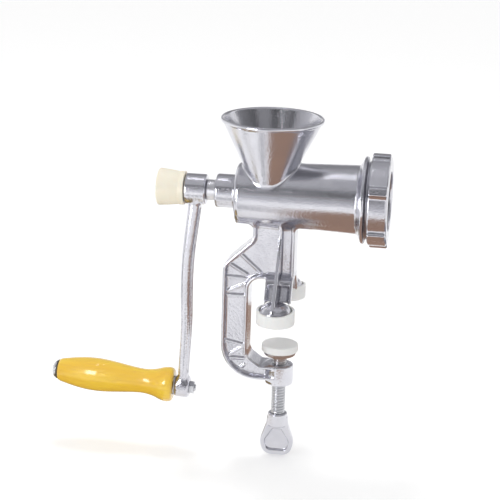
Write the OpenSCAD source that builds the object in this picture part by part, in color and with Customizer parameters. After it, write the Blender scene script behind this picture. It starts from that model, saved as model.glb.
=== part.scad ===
// Hand crank meat grinder with a table clamp.
// Units are millimetres and +Z is up. The origin lies on the table top, where the clamp
// screw's axis meets it. +X runs along the auger towards the mouth, and -Y faces the user.

/* [Barrel] */
// Height of the auger axis above the table top
axis_height = 100; // [96:1:106]
// Clamp screw axis to the barrel's rear face
barrel_back = 40.5; // [36:0.5:44]
// Clamp screw axis to the front end of the barrel's straight part
barrel_front = 61; // [55:0.5:70]
// Outer radius of the barrel at its rear face
barrel_rear_r = 25; // [24:0.5:26]
// Outer radius of the barrel at its front end
barrel_front_r = 28.5; // [27.5:0.5:29]
// Wall of the barrel
barrel_wall = 3.5; // [3:0.25:4.5]
// Thickness of the barrel's rear wall
rear_wall = 6; // [4:0.5:8]
// Rounding of the barrel's rear edge
barrel_edge = 4.5; // [2:0.5:6]
// Length of the bearing boss behind the barrel
boss_length = 17; // [12:0.5:20]
// Wall of the bearing boss around the shaft
boss_wall = 5.5; // [4:0.25:6.5]

/* [Hopper] */
// Clamp screw axis back to the hopper's centre
hopper_back = 12.5; // [8:0.5:14]
// Outer radius of the hopper's rim
hopper_rim_r = 42.4; // [38:0.2:46]
// Height of the rim above the auger axis
hopper_height = 64.2; // [56:0.2:72]
// Half length of the hopper's foot along the barrel, at the auger axis
hopper_foot_x = 10.1; // [9:0.1:12]
// Half width of the hopper's foot across the barrel, at the auger axis
hopper_foot_y = 19.6; // [18:0.1:21]
// How square the hopper's foot is, where 2 is an oval
hopper_foot_square = 2.5; // [2:0.1:3]
// Wall of the hopper
hopper_wall = 2.6; // [2:0.1:3.4]
// Half height of the bead that edges the rim
rim_bead = 1.6; // [1.2:0.1:2.2]

/* [Mouth] */
// Radius of the grinding plate
plate_r = 27; // [26:0.25:28]
// Thickness of the grinding plate
plate_thickness = 7; // [6:0.5:8]
// Radial play of the plate in its seat
plate_play = 0.3; // [0.2:0.05:0.4]
// Depth of the plate's seat in the spigot
plate_seat = 3.6; // [2.5:0.1:4.5]
// Wall of the threaded spigot around the plate's seat
spigot_wall = 4.9; // [4:0.1:6]
// Radial height of the flange above the spigot
flange_rise = 3.8; // [2:0.1:5]
// Length of the flared neck in front of the barrel
flare_length = 3.5; // [2.5:0.5:5]
// Thickness of the flange
flange_thickness = 2.7; // [2:0.1:3.5]
// Length of the threaded spigot in front of the flange
spigot_length = 12.3; // [11:0.1:14]
// Pitch of the ring nut's thread
ring_pitch = 2.5; // [2:0.25:3]
// Depth of the threads
thread_depth = 0.9; // [0.6:0.1:1.1]

/* [Ring nut] */
// Length of the ring nut
ring_length = 16.3; // [15:0.1:17]
// Wall of the ring nut outside its thread
ring_wall = 4.3; // [3.5:0.1:5]
// Gap between the ring nut's bore and the spigot
ring_play = 0.3; // [0.2:0.05:0.4]
// Thickness of the lip that holds the plate
lip_thickness = 3; // [2.5:0.1:3.5]
// How far the lip covers the plate's edge
lip_cover = 2.5; // [2:0.1:4]
// Number of grip lugs around the ring nut
lug_count = 6; // [4:1:8]
// Height of a lug above the ring nut
lug_height = 3.2; // [2:0.1:4]
// Width of a lug at its root
lug_width = 9.5; // [7:0.5:11]
// Width of a lug at its top
lug_top = 6.5; // [4:0.5:7]

/* [Auger and knife] */
// Radius of the auger's shaft in its bearing
shaft_r = 8.5; // [8:0.1:9]
// Radial running clearance of shafts and screws in their bores
running_gap = 0.06; // [0.03:0.01:0.09]
// Radial gap between the auger's flight and the barrel
flight_gap = 0.6; // [0.4:0.05:1]
// Radius of the auger's core behind the flight
core_r = 9.5; // [8.5:0.1:10.5]
// Pitch of the auger's flight
flight_pitch = 27; // [24:1:32]
// Across flats of the square drive in the crank arm
drive_square = 11; // [10:0.25:11.5]
// Thickness of the washer behind the auger
thrust_washer_t = 2; // [1.5:0.1:2.5]
// Across flats of the square that drives the knife
knife_square = 9.5; // [8.5:0.25:10]
// Thickness of the knife
knife_thickness = 4.6; // [4:0.1:5]
// Radius of the pilot that centres the plate
pilot_r = 5; // [4:0.1:5.5]

/* [Crank arm] */
// Clamp screw axis back to the front face of the arm's hub
hub_back = 65.5; // [62:0.5:68]
// Length of the arm's hub
hub_length = 18; // [16:0.5:20]
// Radius of the arm's hub
hub_r = 12.7; // [12:0.1:14]
// Length of the crank, from the auger axis to the handle's axis
crank_length = 176.5; // [160:0.5:190]
// How far the arm's foot stands behind the middle of its hub
arm_lean = 8.7; // [5:0.1:12]
// How far the arm bows out on its way down
arm_bow = 2.9; // [0:0.1:5]
// Thickness of the arm at its hub
arm_thick_top = 10; // [8:0.5:12]
// Thickness of the arm at its foot
arm_thick_foot = 7.6; // [6:0.2:9]
// Width of the arm at its hub
arm_wide_top = 18; // [15:0.5:20]
// Width of the arm at its foot
arm_wide_foot = 13; // [11:0.5:15]
// Thickness of the flanges along the arm's edges
arm_flange = 3.4; // [2.5:0.1:4]
// Thickness of the arm's web
arm_web = 3.6; // [3:0.1:5]

/* [Handle] */
// Angle by which the handle's outer end stands up
handle_tilt = 3.2; // [0:0.2:6]
// Radius of the boss at the arm's foot
foot_boss_r = 8.6; // [8:0.1:10]
// Length of the boss at the arm's foot
foot_boss_length = 12.5; // [11:0.5:14]
// Length of the grip
grip_length = 101.7; // [90:0.1:110]
// Largest radius of the grip's belly
grip_belly_r = 14.2; // [13:0.1:16]
// Radius of the grip's neck
grip_neck_r = 10.4; // [9.5:0.1:11.5]
// Radius of the grip's flared inner end
grip_flare_r = 15; // [13.5:0.1:16]
// Radius of the handle bolt
bolt_r = 3; // [2.5:0.1:3.5]
// Radius of the bolt's domed head
bolt_head_r = 7.5; // [7:0.1:8.5]
// Height of the bolt's domed head
bolt_head_h = 4.2; // [3:0.1:5]
// Thickness of the washers at the grip's ends
grip_washer_t = 1.2; // [1:0.1:1.6]
// Radius of the washer under the bolt's head
grip_washer_r = 8.2; // [7:0.1:9]
// Across flats of the bolt's nut
nut_flats = 10; // [9:0.5:13]
// Thickness of the bolt's nut
nut_thickness = 4; // [3:0.5:6]

/* [Crank knob] */
// Length of the plastic knob
knob_length = 22.7; // [20:0.1:25]
// Radius of the knob's outer end
knob_outer_r = 15.7; // [14.5:0.1:17]
// Radius of the knob's inner end
knob_inner_r = 14; // [13.5:0.1:14.4]
// Radius of the knob's threaded stud
stud_r = 4; // [3.5:0.1:4.2]
// Thickness of the captive washer
knob_washer_t = 1.5; // [1.2:0.1:2]
// Radius of the captive washer
knob_washer_r = 10.6; // [9.5:0.1:11]

/* [Clamp frame] */
// Width of the frame across its rims
frame_width = 24; // [21:0.5:27]
// Thickness of the frame's recessed web
web_thickness = 12; // [9:0.5:14]
// Width of the raised rim along the frame's edges
rim_width = 2.6; // [2:0.1:3.5]
// Clamp screw axis back to the frame's outer face
leg_back = 49; // [46:0.5:54]
// Depth of the frame's upright leg
leg_depth = 22; // [20:0.5:24]
// Height of the jaw's roof above the table top
jaw_roof = 29; // [28:0.5:32]
// Depth of the frame's underside below the table top
frame_drop = 60.5; // [58:0.5:63]
// Clamp screw axis back to the rear edge of the stem
stem_back = 24.5; // [23:0.5:26]
// Clamp screw axis forward to the front edge of the stem
stem_front = 10.5; // [9:0.5:12]
// Height of the shoulder where the upright leg begins
shoulder_height = 39.3; // [36:0.5:42]
// Height of the raised ribs on the web
rib_height = 0.9; // [0.5:0.1:1.2]
// Width of the raised ribs on the web
rib_width = 2.2; // [1.5:0.1:3]

/* [Feet] */
// Screw axis to the middle of each foot
foot_spread = 36.9; // [35:0.1:39]
// Outer radius of a foot cap
cap_r = 15.8; // [15:0.1:17]
// Wall of a foot cap
cap_wall = 2.3; // [1.5:0.1:2.6]
// Thickness of a foot cap's sole
cap_sole = 2.4; // [2:0.1:3]
// Height of a foot cap
cap_height = 13; // [11:0.5:14]
// Height of a foot cap at its low outer side
cap_low = 10.3; // [8:0.1:11]

/* [Clamp screw] */
// Table thickness that the clamp grips as drawn
table_thickness = 30; // [28:1:32]
// Radius of the clamp screw
screw_r = 6; // [5.5:0.1:6.4]
// Pitch of the clamp screw
screw_pitch = 2.5; // [2:0.25:3]
// Radius of the boss that carries the clamp screw
screw_boss_r = 12; // [11:0.5:13]
// Length of the boss that carries the clamp screw
screw_boss_length = 17.5; // [15:0.5:18.5]
// Distance that the pad can be screwed down from its drawn place
pad_down = 7.5; // [6:0.5:9]
// Distance that the pad can be screwed up from its drawn place
pad_up = 26.5; // [22:0.5:27]
// Radius of the pad
pad_r = 13.4; // [12:0.1:14]
// Thickness of the pad
pad_thickness = 7.5; // [7:0.1:8.5]
// Thickness of the white cap on the pad
pad_cap_t = 2.2; // [1.8:0.1:3]
// How far the white cap reaches down the pad's side
pad_skirt = 4; // [2:0.5:6]
// Half width of the wing
wing_half = 14.8; // [13:0.1:17]
// Height of the wing's paddle below its hub
wing_drop = 27; // [22:0.5:30]
// Thickness of the wing's paddle
wing_thickness = 6; // [5:0.5:7]

/* [Hidden] */

round_fn = 96;    // roundness of turned shapes
eps = 0.02;       // overlap that keeps cuts clean
part_gap = 0.3;   // gap between faces that move apart
snug = 0.04;      // radial gap of pieces that are pressed or screwed together
arc_steps = 7;    // straight stretches in a rounded corner

// Stations along the auger axis, as X
rear_x = -barrel_back;
boss_x = rear_x - boss_length;
chamber_x = rear_x + rear_wall;
flange_x = barrel_front + flare_length;
spigot_x = flange_x + flange_thickness;
spigot_end = spigot_x + spigot_length;
seat_x = spigot_end - plate_seat;
plate_x = seat_x + part_gap;
plate_front = plate_x + plate_thickness;
ring_front = plate_front + lip_thickness;
ring_x = ring_front - ring_length;
knife_x = plate_x - part_gap - knife_thickness;

// Radii around the auger axis
boss_r = shaft_r + boss_wall;
seat_r = plate_r + plate_play;
spigot_r = seat_r + spigot_wall;
flange_r = spigot_r + flange_rise;
ring_bore_r = spigot_r + ring_play;
ring_r = ring_bore_r + ring_wall;
lug_r = ring_r + lug_height;
lip_r = plate_r - lip_cover;
chamber_rear_r = barrel_rear_r - barrel_wall;
chamber_front_r = barrel_front_r - barrel_wall;
boss_chamfer = 1.4;
flange_edge = 1.2;
rim_step = 0.6;   // how far the rim's bead stands out from the funnel
funnel_fn = 64;   // flat sides of the funnel
lug_phase = 25;   // angle of the first lug above the horizontal, on the user's side
lug_setback = 0.7; // distance from each end of the ring nut to its lugs

// Auger
chamber_slope = (chamber_front_r - chamber_rear_r) / (barrel_front - chamber_x);
washer_x = chamber_x + part_gap;
collar_x = washer_x + thrust_washer_t;
collar_t = 3;
collar_r = chamber_rear_r - 4;
worm_x = collar_x + collar_t;
worm_end = knife_x - 4.2;
worm_points = 28;   // points round the worm's section
worm_slices = 84;   // slices along the worm
worm_land = 34;     // half angle of the flight's top land
worm_slope = 26;    // angle of each of the flight's flanks
worm_rear_r = chamber_rear_r + (worm_x - chamber_x) * chamber_slope - flight_gap;
worm_front_r = chamber_rear_r + (worm_end - chamber_x) * chamber_slope - flight_gap;
nose_r = 9;
stud_depth = 14;    // length of the knife stud inside the auger
knife_hub_r = 9.8;
knife_r = chamber_front_r - 0.8;
blade_root = 8;     // width of a knife blade at its hub
blade_tip = 5.5;    // width of a knife blade at its tip

// Grinding plate
hole_r = 2.5;
hole_rings = [[10, 8], [15.6, 14], [21.4, 20]];  // radius of each ring of holes and their number
key_r = 2;
key_reach = 1.6;    // how far the key pin stands into the seat
key_depth = 2.4;    // how far the key pin stands in the spigot's wall

// Crank arm, in the XZ plane
hub_x = -(hub_back + hub_length / 2);
hub_rear = -(hub_back + hub_length);
foot_x = hub_x - arm_lean;
foot_z = axis_height - crank_length;
arm_steps = 14;
bow_share = 0.76;   // part of the arm's length over which it bows
drive_gap = 0.1;
shaft_end = hub_rear + 0.5;

// Handle, as distances along its axis from the middle of the arm's foot boss
boss_half = foot_boss_length / 2;
grip_start = boss_half + grip_washer_t + part_gap;
grip_end = grip_start + grip_length;
head_start = grip_end + part_gap + grip_washer_t;
grip_bore_r = bolt_r + running_gap;

// Knob, as X
knob_face = hub_rear - part_gap;
knob_end = knob_face - knob_length;
knob_recess = knob_washer_t + part_gap;
knob_travel = 12;
stud_tip = shaft_end + knob_travel + 1.5;
knob_wall = 5;      // plastic behind the stud's root
stud_root = knob_end + knob_wall;

// Clamp screw, as Z
pad_top = -table_thickness;
pad_metal = pad_top - pad_cap_t;
pad_base = pad_metal - pad_thickness;
boss_top = pad_base - pad_down - 0.8;
boss_base = boss_top - screw_boss_length;
wing_top = boss_base - pad_up - 0.5;
wing_hub_h = 12;
wing_hub_r = 8.4;
wing_base = wing_top - wing_hub_h;
neck_r = 3.6;
head_r = 5;
head_t = 3;
head_top = pad_metal - 1.2;
tang_r = 4.8;
pad_cap_wall = 2;
tang_length = 9.5;

// Clamp frame
frame_half = frame_width / 2;
web_half = web_thickness / 2;
leg_x = -leg_back + leg_depth;
stem_top = axis_height - 23;
neck_z = shoulder_height + (leg_back - stem_back) * 0.94;
arm_floor = boss_top;
jaw_floor = arm_floor + 8;
rib_length = 40;

// Feet
leg_rear = -12;
foot_r = cap_r - cap_wall - 0.05;
foot_top = 17;
yoke_t = 3;         // thickness of the legs' middle rib
yoke_x = -3;
foot_inner = foot_spread - 14.9;   // where the leg's inner face reaches its foot
leg_brow = 16.5;    // how far the leg's top edge stands out from the middle

// ---- helpers ----

// Stands its children on the auger axis, their +Z along +X, starting at x
module on_axis(x = 0) translate([x, 0, axis_height]) rotate([0, 90, 0]) children();

// Stands its children on the handle's axis, their +Z outwards along the handle
module on_handle(s = 0)
    translate([foot_x, 0, foot_z]) rotate([0, handle_tilt - 90, 0]) translate([0, 0, s]) children();

// Turns an outline drawn in X and Z into a plate centred on Y = 0
module plate_xz(half) rotate([90, 0, 0]) translate([0, 0, -half]) linear_extrude(2 * half) children();

// Turns an outline drawn in Y and Z into a plate from x0 to x1
module plate_yz(x0, x1) translate([x0, 0, 0]) rotate([90, 0, 90]) linear_extrude(x1 - x0) children();

// A disc or tube along +Z
module ring(r, hole, h) difference() {
    cylinder(r = r, h = h, $fn = round_fn);
    translate([0, 0, -eps]) cylinder(r = hole, h = h + 2 * eps, $fn = round_fn);
}

// A round bar with a chamfer at each end
module chamfered(r, h, c) rotate_extrude($fn = round_fn)
    polygon([[0, 0], [r - c, 0], [r, c], [r, h - c], [r - c, h], [0, h]]);

function unit(v) = v / norm(v);
function turned(v, a) = [v[0] * cos(a) - v[1] * sin(a), v[0] * sin(a) + v[1] * cos(a)];

// The arc that rounds corner b = [x, y, radius] between its neighbours a and c
function corner_arc(a, b, c) = let (
        p = [b[0], b[1]],
        u = unit([a[0], a[1]] - p),
        v = unit([c[0], c[1]] - p),
        half = acos(u * v) / 2,
        centre = p + unit(u + v) * b[2] / sin(half),
        start = p + u * b[2] / tan(half) - centre,
        sweep = sign(cross(v, u)) * (180 - 2 * half))
    b[2] == 0 ? [p] : [for (k = [0 : arc_steps]) centre + turned(start, sweep * k / arc_steps)];

// An outline from corners [x, y, radius]
function outline(corners) = let (n = len(corners))
    [for (i = [0 : n - 1]) each corner_arc(corners[(i + n - 1) % n], corners[i], corners[(i + 1) % n])];

// The corners of a counter-clockwise outline moved inwards by d
function inset(corners, d) = let (n = len(corners))
    [for (i = [0 : n - 1]) let (
        a = corners[(i + n - 1) % n],
        b = corners[i],
        c = corners[(i + 1) % n],
        e1 = unit([b[0] - a[0], b[1] - a[1]]),
        e2 = unit([c[0] - b[0], c[1] - b[1]]),
        n1 = [-e1[1], e1[0]],
        n2 = [-e2[1], e2[0]],
        p = [b[0], b[1]] + (n1 + n2) * d / (1 + n1 * n2),
        r = b[2] == 0 ? 0 : max(0.4, b[2] - sign(cross(e1, e2)) * d))
        [p[0], p[1], r]];

// Ridges of a thread as [radius, z] points: n ridges of the given pitch from z0 upwards
function ridges(crest, depth, pitch, z0, n) = [for (i = [0 : n - 1]) each [
    [crest - depth, z0 + i * pitch],
    [crest, z0 + (i + 0.35) * pitch],
    [crest, z0 + (i + 0.6) * pitch],
    [crest - depth, z0 + (i + 0.95) * pitch]]];

// ---- body casting ----

module barrel_profile() {
    polygon([[0, rear_x], [barrel_rear_r - barrel_edge, rear_x], [barrel_rear_r, rear_x + barrel_edge],
             [barrel_front_r, barrel_front], [flange_r, flange_x],
             [flange_r, spigot_x - flange_edge], [flange_r - flange_edge, spigot_x], [0, spigot_x]]);
    translate([barrel_rear_r - barrel_edge, rear_x + barrel_edge]) circle(r = barrel_edge, $fn = 48);
}

module spigot_profile() {
    ridge_count = floor((spigot_length - 1) / ring_pitch);
    polygon(concat([[0, spigot_x - eps], [spigot_r - thread_depth, spigot_x - eps]],
        ridges(spigot_r, thread_depth, ring_pitch, spigot_x + 0.6, ridge_count),
        [[spigot_r - thread_depth, spigot_end], [0, spigot_end]]));
}

module boss_profile()
    polygon([[0, boss_x], [boss_r - boss_chamfer, boss_x], [boss_r, boss_x + boss_chamfer],
             [boss_r, rear_x + 1], [0, rear_x + 1]]);

module chamber_profile()
    polygon([[0, chamber_x], [chamber_rear_r, chamber_x], [chamber_front_r, barrel_front],
             [chamber_front_r, seat_x], [seat_r, seat_x], [seat_r, spigot_end + 1], [0, spigot_end + 1]]);

// Cosine or sine of a squarish oval
function squarish(a) = sign(a) * pow(abs(a), 2 / hopper_foot_square);

// The hopper's funnel, shrunk by the given amount: round at its rim and a squarish oval at its foot
module funnel(shrink, lift) translate([-hopper_back, 0, axis_height]) hull() {
    translate([0, 0, hopper_height - 1 + lift])
        cylinder(r = hopper_rim_r - rim_step - shrink, h = eps, $fn = funnel_fn);
    linear_extrude(eps) polygon([for (i = [0 : funnel_fn - 1]) let(turn = i * 360 / funnel_fn)
        [(hopper_foot_x - shrink) * squarish(cos(turn)), (hopper_foot_y - shrink) * squarish(sin(turn))]]);
}

module hopper_rim() translate([-hopper_back, 0, axis_height + hopper_height]) rotate_extrude($fn = round_fn)
    polygon([[hopper_rim_r - hopper_wall - 0.2, -2 * rim_bead + 0.8], [hopper_rim_r - 0.9, -2 * rim_bead],
             [hopper_rim_r, 0.6 - 2 * rim_bead], [hopper_rim_r, -0.7], [hopper_rim_r - 0.7, 0],
             [hopper_rim_r - hopper_wall + 0.4, 0], [hopper_rim_r - hopper_wall - 0.2, -0.6]]);

frame_corners = [
    [-stem_back - 14, stem_top + 8, 0], [-stem_back - 14, stem_top, 0], [-stem_back, stem_top, 6],
    [-stem_back, neck_z, 9], [-leg_back, shoulder_height, 12], [-leg_back, -frame_drop, 30],
    [0, -frame_drop, 0], [0, arm_floor, 0], [-pad_r - 2.5, arm_floor, 3], [leg_x, jaw_floor, 9],
    [leg_x, jaw_roof, 10], [stem_front, jaw_roof, 2], [stem_front, stem_top, 5],
    [stem_front + 12, stem_top, 0], [stem_front + 12, stem_top + 8, 0]];

// Raised ribs: place of each one's inner end from the jaw's corner, and its angle
roof_ribs = [[10, 3.6, 139], [-1, 1, 150], [-2, -1.6, 179], [-2, -6, 206], [-2, -17, 181]];
floor_ribs = [[-2, 8, 169], [-2, 8, 215], [-2, -4.5, 182], [-1.6, -9, 222]];

module rib(corner_x, corner_z, place)
    translate([corner_x + place[0], 0, corner_z + place[1]]) rotate([0, -place[2], 0])
        translate([0, -web_half - rib_height, -rib_width / 2])
            cube([rib_length, web_thickness + 2 * rib_height, rib_width]);

module web_ribs() intersection() {
    plate_xz(frame_half) polygon(outline(inset(frame_corners, rim_width / 2)));
    union() {
        for (place = roof_ribs) rib(leg_x, jaw_roof, place);
        for (place = floor_ribs) rib(leg_x, jaw_floor, place);
    }
}

module clamp_frame() {
    difference() {
        plate_xz(frame_half) polygon(outline(frame_corners));
        for (side = [-1, 1]) translate([0, side * (web_half + frame_half), 0])
            plate_xz(frame_half) polygon(outline(inset(frame_corners, rim_width)));
    }
    web_ribs();
}

// One foot with its leg. Mirrored for the other side.
leg_corners = [[2, jaw_roof + 4.5, 0], [0, jaw_roof + 2, 0], [8, jaw_roof - 1, 6], [foot_inner, 8, 6],
               [foot_inner, cap_sole, 0], [foot_spread, cap_sole, 0], [foot_spread, foot_top - 3.5, 0],
               [foot_inner + 4.5, foot_top - 5, 4], [leg_brow, jaw_roof + 2, 1.5]];
leg_pocket = [[leg_brow - 3, jaw_roof - 2, 1], [foot_inner + 0.5, foot_top - 4, 2],
              [foot_spread + 6, foot_top - 4, 0], [foot_spread + 6, jaw_roof - 2, 0]];
rib_corners = [[4, axis_height - 22, 0], [0, jaw_roof + 2, 0], [8, jaw_roof - 1, 6], [foot_inner, 8, 0],
               [foot_inner, cap_sole, 0], [foot_spread + foot_r - 1.5, cap_sole, 0],
               [foot_spread + foot_r - 1.5, 14, 4], [foot_spread + 4, jaw_roof - 5, 9],
               [18, 52, 26], [12.5, 66, 0], [12.5, axis_height - 22, 0]];

module leg_plates() {
    edge = 2.4;   // width of the raised edges of the leg
    difference() {
        plate_yz(leg_rear, stem_front) polygon(outline(leg_corners));
        for (x = [leg_rear + edge, yoke_x + yoke_t])
            plate_yz(x, (x < yoke_x ? yoke_x : stem_front - edge)) polygon(outline(leg_pocket));
    }
    plate_yz(yoke_x, yoke_x + yoke_t) polygon(outline(rib_corners));
}

module leg() {
    difference() {
        leg_plates();
        translate([0, foot_spread, -1]) ring(cap_r + 4, foot_r - 0.3, cap_height + 1.2);
    }
    translate([0, foot_spread, cap_sole]) rotate_extrude($fn = round_fn)
        polygon([[0, 0], [foot_r, 0], [foot_r, foot_top - 6.5 - cap_sole], [foot_r - 3, foot_top - 2 - cap_sole],
                 [foot_r - 6, foot_top - cap_sole], [0, foot_top - cap_sole]]);
}

module body_casting() color([0.80, 0.81, 0.82]) difference() {
    union() {
        on_axis() rotate_extrude($fn = round_fn) barrel_profile();
        on_axis() rotate_extrude($fn = round_fn) spigot_profile();
        on_axis() rotate_extrude($fn = round_fn) boss_profile();
        funnel(0, 0);
        hopper_rim();
        clamp_frame();
        leg();
        mirror([0, 1, 0]) leg();
        translate([0, 0, boss_base]) chamfered(screw_boss_r, screw_boss_length, 1);
    }
    on_axis() rotate_extrude($fn = round_fn) chamber_profile();
    on_axis(boss_x - 1) cylinder(r = shaft_r + running_gap, h = boss_length + rear_wall + 2, $fn = round_fn);
    funnel(hopper_wall, 1.1);
    translate([0, 0, boss_base - 1])
        cylinder(r = screw_r + running_gap, h = screw_boss_length + 2, $fn = round_fn);
    on_axis(seat_x) rotate([0, 0, 180]) translate([seat_r + key_depth - key_r, 0, -1])
        cylinder(r = key_r + snug, h = plate_seat + 2, $fn = 32);
}

module plate_key_pin() color([0.62, 0.62, 0.64])
    on_axis(seat_x - 1) rotate([0, 0, 180]) translate([seat_r + key_depth - key_r, 0, 0])
        cylinder(r = key_r, h = plate_seat + 0.8, $fn = 32);

// ---- auger, knife and plate ----

// Radius of the worm's section at angle a: a core with one flight
function worm_radius(a) = let (off = abs(a > 180 ? a - 360 : a), rise = worm_rear_r - core_r)
    off <= worm_land ? worm_rear_r
    : off >= worm_land + worm_slope ? core_r
    : core_r + rise * (1 - (off - worm_land) / worm_slope);

module worm() linear_extrude(worm_end - worm_x, twist = 360 * (worm_end - worm_x) / flight_pitch,
                             slices = worm_slices, scale = worm_front_r / worm_rear_r)
    polygon([for (i = [0 : worm_points - 1]) let (a = i * 360 / worm_points)
        worm_radius(a) * [cos(a), sin(a)]]);

module auger() color([0.76, 0.77, 0.78]) difference() {
    union() {
        on_axis(worm_x) worm();
        on_axis(collar_x) cylinder(r = collar_r, h = collar_t + eps, $fn = round_fn);
        on_axis(-hub_back) cylinder(r = shaft_r, h = collar_x + hub_back + eps, $fn = round_fn);
        on_axis(worm_end - eps) cylinder(r = nose_r, h = knife_x - worm_end, $fn = round_fn);
        on_axis(shaft_end) translate([-drive_square / 2, -drive_square / 2, 0])
            cube([drive_square, drive_square, -hub_back - shaft_end + eps]);
    }
    on_axis(shaft_end - 1) cylinder(r = stud_r + snug, h = knob_travel + 4, $fn = 48);
    on_axis(knife_x - stud_depth) translate([-knife_square / 2 - snug, -knife_square / 2 - snug, 0])
        cube([knife_square + 2 * snug, knife_square + 2 * snug, stud_depth + 1]);
}

module thrust_washer() color([0.93, 0.93, 0.90])
    on_axis(washer_x) ring(collar_r - 0.5, shaft_r + snug, thrust_washer_t - eps);

module knife_stud() color([0.55, 0.56, 0.58]) {
    on_axis(knife_x - stud_depth) translate([-knife_square / 2, -knife_square / 2, 0])
        cube([knife_square, knife_square, stud_depth + knife_thickness]);
    on_axis(knife_x + knife_thickness - eps) chamfered(pilot_r, plate_front - knife_x - knife_thickness, 0.6);
}

module blade() polygon([[0, -blade_root / 2], [knife_r - 2, -blade_tip / 2], [knife_r - 0.4, 0],
                        [knife_r - 1, blade_tip / 2], [knife_hub_r + 2, blade_root / 2 - 1.4], [0, blade_root / 2]]);

module knife() color([0.60, 0.61, 0.63]) on_axis(knife_x) linear_extrude(knife_thickness) difference() {
    union() {
        circle(r = knife_hub_r, $fn = round_fn);
        for (i = [0 : 3]) rotate(45 + 90 * i) blade();
    }
    square(knife_square + 2 * snug, center = true);
}

module grinding_plate() color([0.66, 0.67, 0.69]) on_axis(plate_x) difference() {
    chamfered(plate_r, plate_thickness - eps, 0.5);
    translate([0, 0, -1]) cylinder(r = pilot_r + running_gap, h = plate_thickness + 2, $fn = 48);
    for (row = hole_rings, i = [0 : row[1] - 1]) rotate([0, 0, i * 360 / row[1]])
        translate([row[0], 0, -1]) cylinder(r = hole_r, h = plate_thickness + 2, $fn = 24);
    rotate([0, 0, 180]) translate([plate_r - key_reach, -key_r - part_gap, -1])
        cube([key_reach + 1, 2 * (key_r + part_gap), plate_thickness + 2]);
}

// ---- ring nut ----

module lug() translate([0, 0, lug_setback]) linear_extrude(ring_length - 2 * lug_setback)
    polygon([[ring_r - 1, -lug_width / 2], [lug_r, -lug_top / 2], [lug_r + 0.25, 0], [lug_r, lug_top / 2],
             [ring_r - 1, lug_width / 2]]);

module ring_nut() color([0.79, 0.80, 0.81]) difference() {
    union() {
        on_axis(ring_x) chamfered(ring_r, ring_length, 1);
        for (i = [0 : lug_count - 1]) on_axis(ring_x)
            rotate([0, 0, i * 360 / lug_count - 90 - lug_phase]) lug();
    }
    on_axis(ring_x - 1) cylinder(r = ring_bore_r, h = ring_length - lip_thickness + 1, $fn = round_fn);
    on_axis(ring_x) cylinder(r = lip_r, h = ring_length + 1, $fn = round_fn);
    on_axis(ring_front - 1.2) cylinder(r1 = lip_r, r2 = lip_r + 1.3, h = 1.3, $fn = round_fn);
    on_axis() rotate_extrude($fn = round_fn) polygon(concat([[ring_bore_r - 1, ring_x + 0.6]],
        ridges(ring_bore_r + thread_depth, thread_depth + 0.4, ring_pitch, ring_x + 1.2, 4),
        [[ring_bore_r - 1, ring_x + 1.8 + 4 * ring_pitch]]));
}

// ---- crank arm ----

function arm_z(t) = axis_height - t * crank_length;
function arm_mid(t) = hub_x - arm_lean * t - arm_bow * pow(sin(180 * min(t / bow_share, 1)), 2);

// The arm's side outline for a given half thickness at each height
module arm_side(top_half, foot_half) polygon(concat(
    [for (i = [0 : arm_steps]) let (t = i / arm_steps)
        [arm_mid(t) - top_half - (foot_half - top_half) * t, arm_z(t)]],
    [for (i = [arm_steps : -1 : 0]) let (t = i / arm_steps)
        [arm_mid(t) + top_half + (foot_half - top_half) * t, arm_z(t)]]));

module arm_face(trim, top, bottom) polygon([
    [-(arm_wide_top / 2 - trim), top], [-(arm_wide_foot / 2 - trim), bottom],
    [arm_wide_foot / 2 - trim, bottom], [arm_wide_top / 2 - trim, top]]);

module arm_bar() difference() {
    intersection() {
        plate_xz(arm_wide_top) arm_side(arm_thick_top / 2, arm_thick_foot / 2);
        plate_yz(foot_x - 20, -hub_back) arm_face(0, axis_height, foot_z);
    }
    difference() {
        plate_yz(foot_x - 20, -hub_back)
            arm_face(arm_flange, axis_height - hub_r - 3, foot_z + foot_boss_r + 3);
        plate_xz(arm_wide_top) arm_side(arm_web / 2, arm_web / 2);
    }
}

module crank_arm() color([0.78, 0.79, 0.80]) difference() {
    union() {
        on_axis(hub_rear) chamfered(hub_r, hub_length, 1.1);
        arm_bar();
        on_handle(-boss_half) chamfered(foot_boss_r, foot_boss_length, 1.2);
    }
    on_axis(hub_rear - 1) translate([-drive_square / 2 - drive_gap, -drive_square / 2 - drive_gap, 0])
        cube([drive_square + 2 * drive_gap, drive_square + 2 * drive_gap, hub_length + 2]);
    on_handle(-boss_half - 4) cylinder(r = bolt_r + snug, h = foot_boss_length + 8, $fn = 48);
}

// ---- handle ----

// The grip's outline from its inner end: a flare, a neck, a long belly and a rounded outer end
function smooth(a, b, t) = a + (b - a) * (1 - cos(180 * t)) / 2;
function grip_radius(t) =
    t < 0.07 ? grip_flare_r - 3.2 * pow(1 - t / 0.07, 2.4)
    : t < 0.26 ? smooth(grip_flare_r, grip_neck_r, (t - 0.07) / 0.19)
    : t < 0.68 ? smooth(grip_neck_r, grip_belly_r, (t - 0.26) / 0.42)
    : grip_belly_r * pow(1 - pow((t - 0.68) / 0.36, 2.6), 0.42);
grip_steps = 36;

module handle_grip() color([0.98, 0.76, 0.16]) on_handle(grip_start) difference() {
    rotate_extrude($fn = round_fn) polygon(concat([[0, 0]],
        [for (i = [0 : grip_steps]) [grip_radius(i / grip_steps), i / grip_steps * grip_length]],
        [[0, grip_length]]));
    translate([0, 0, -1]) cylinder(r = grip_bore_r, h = grip_length + 2, $fn = 48);
}

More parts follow.
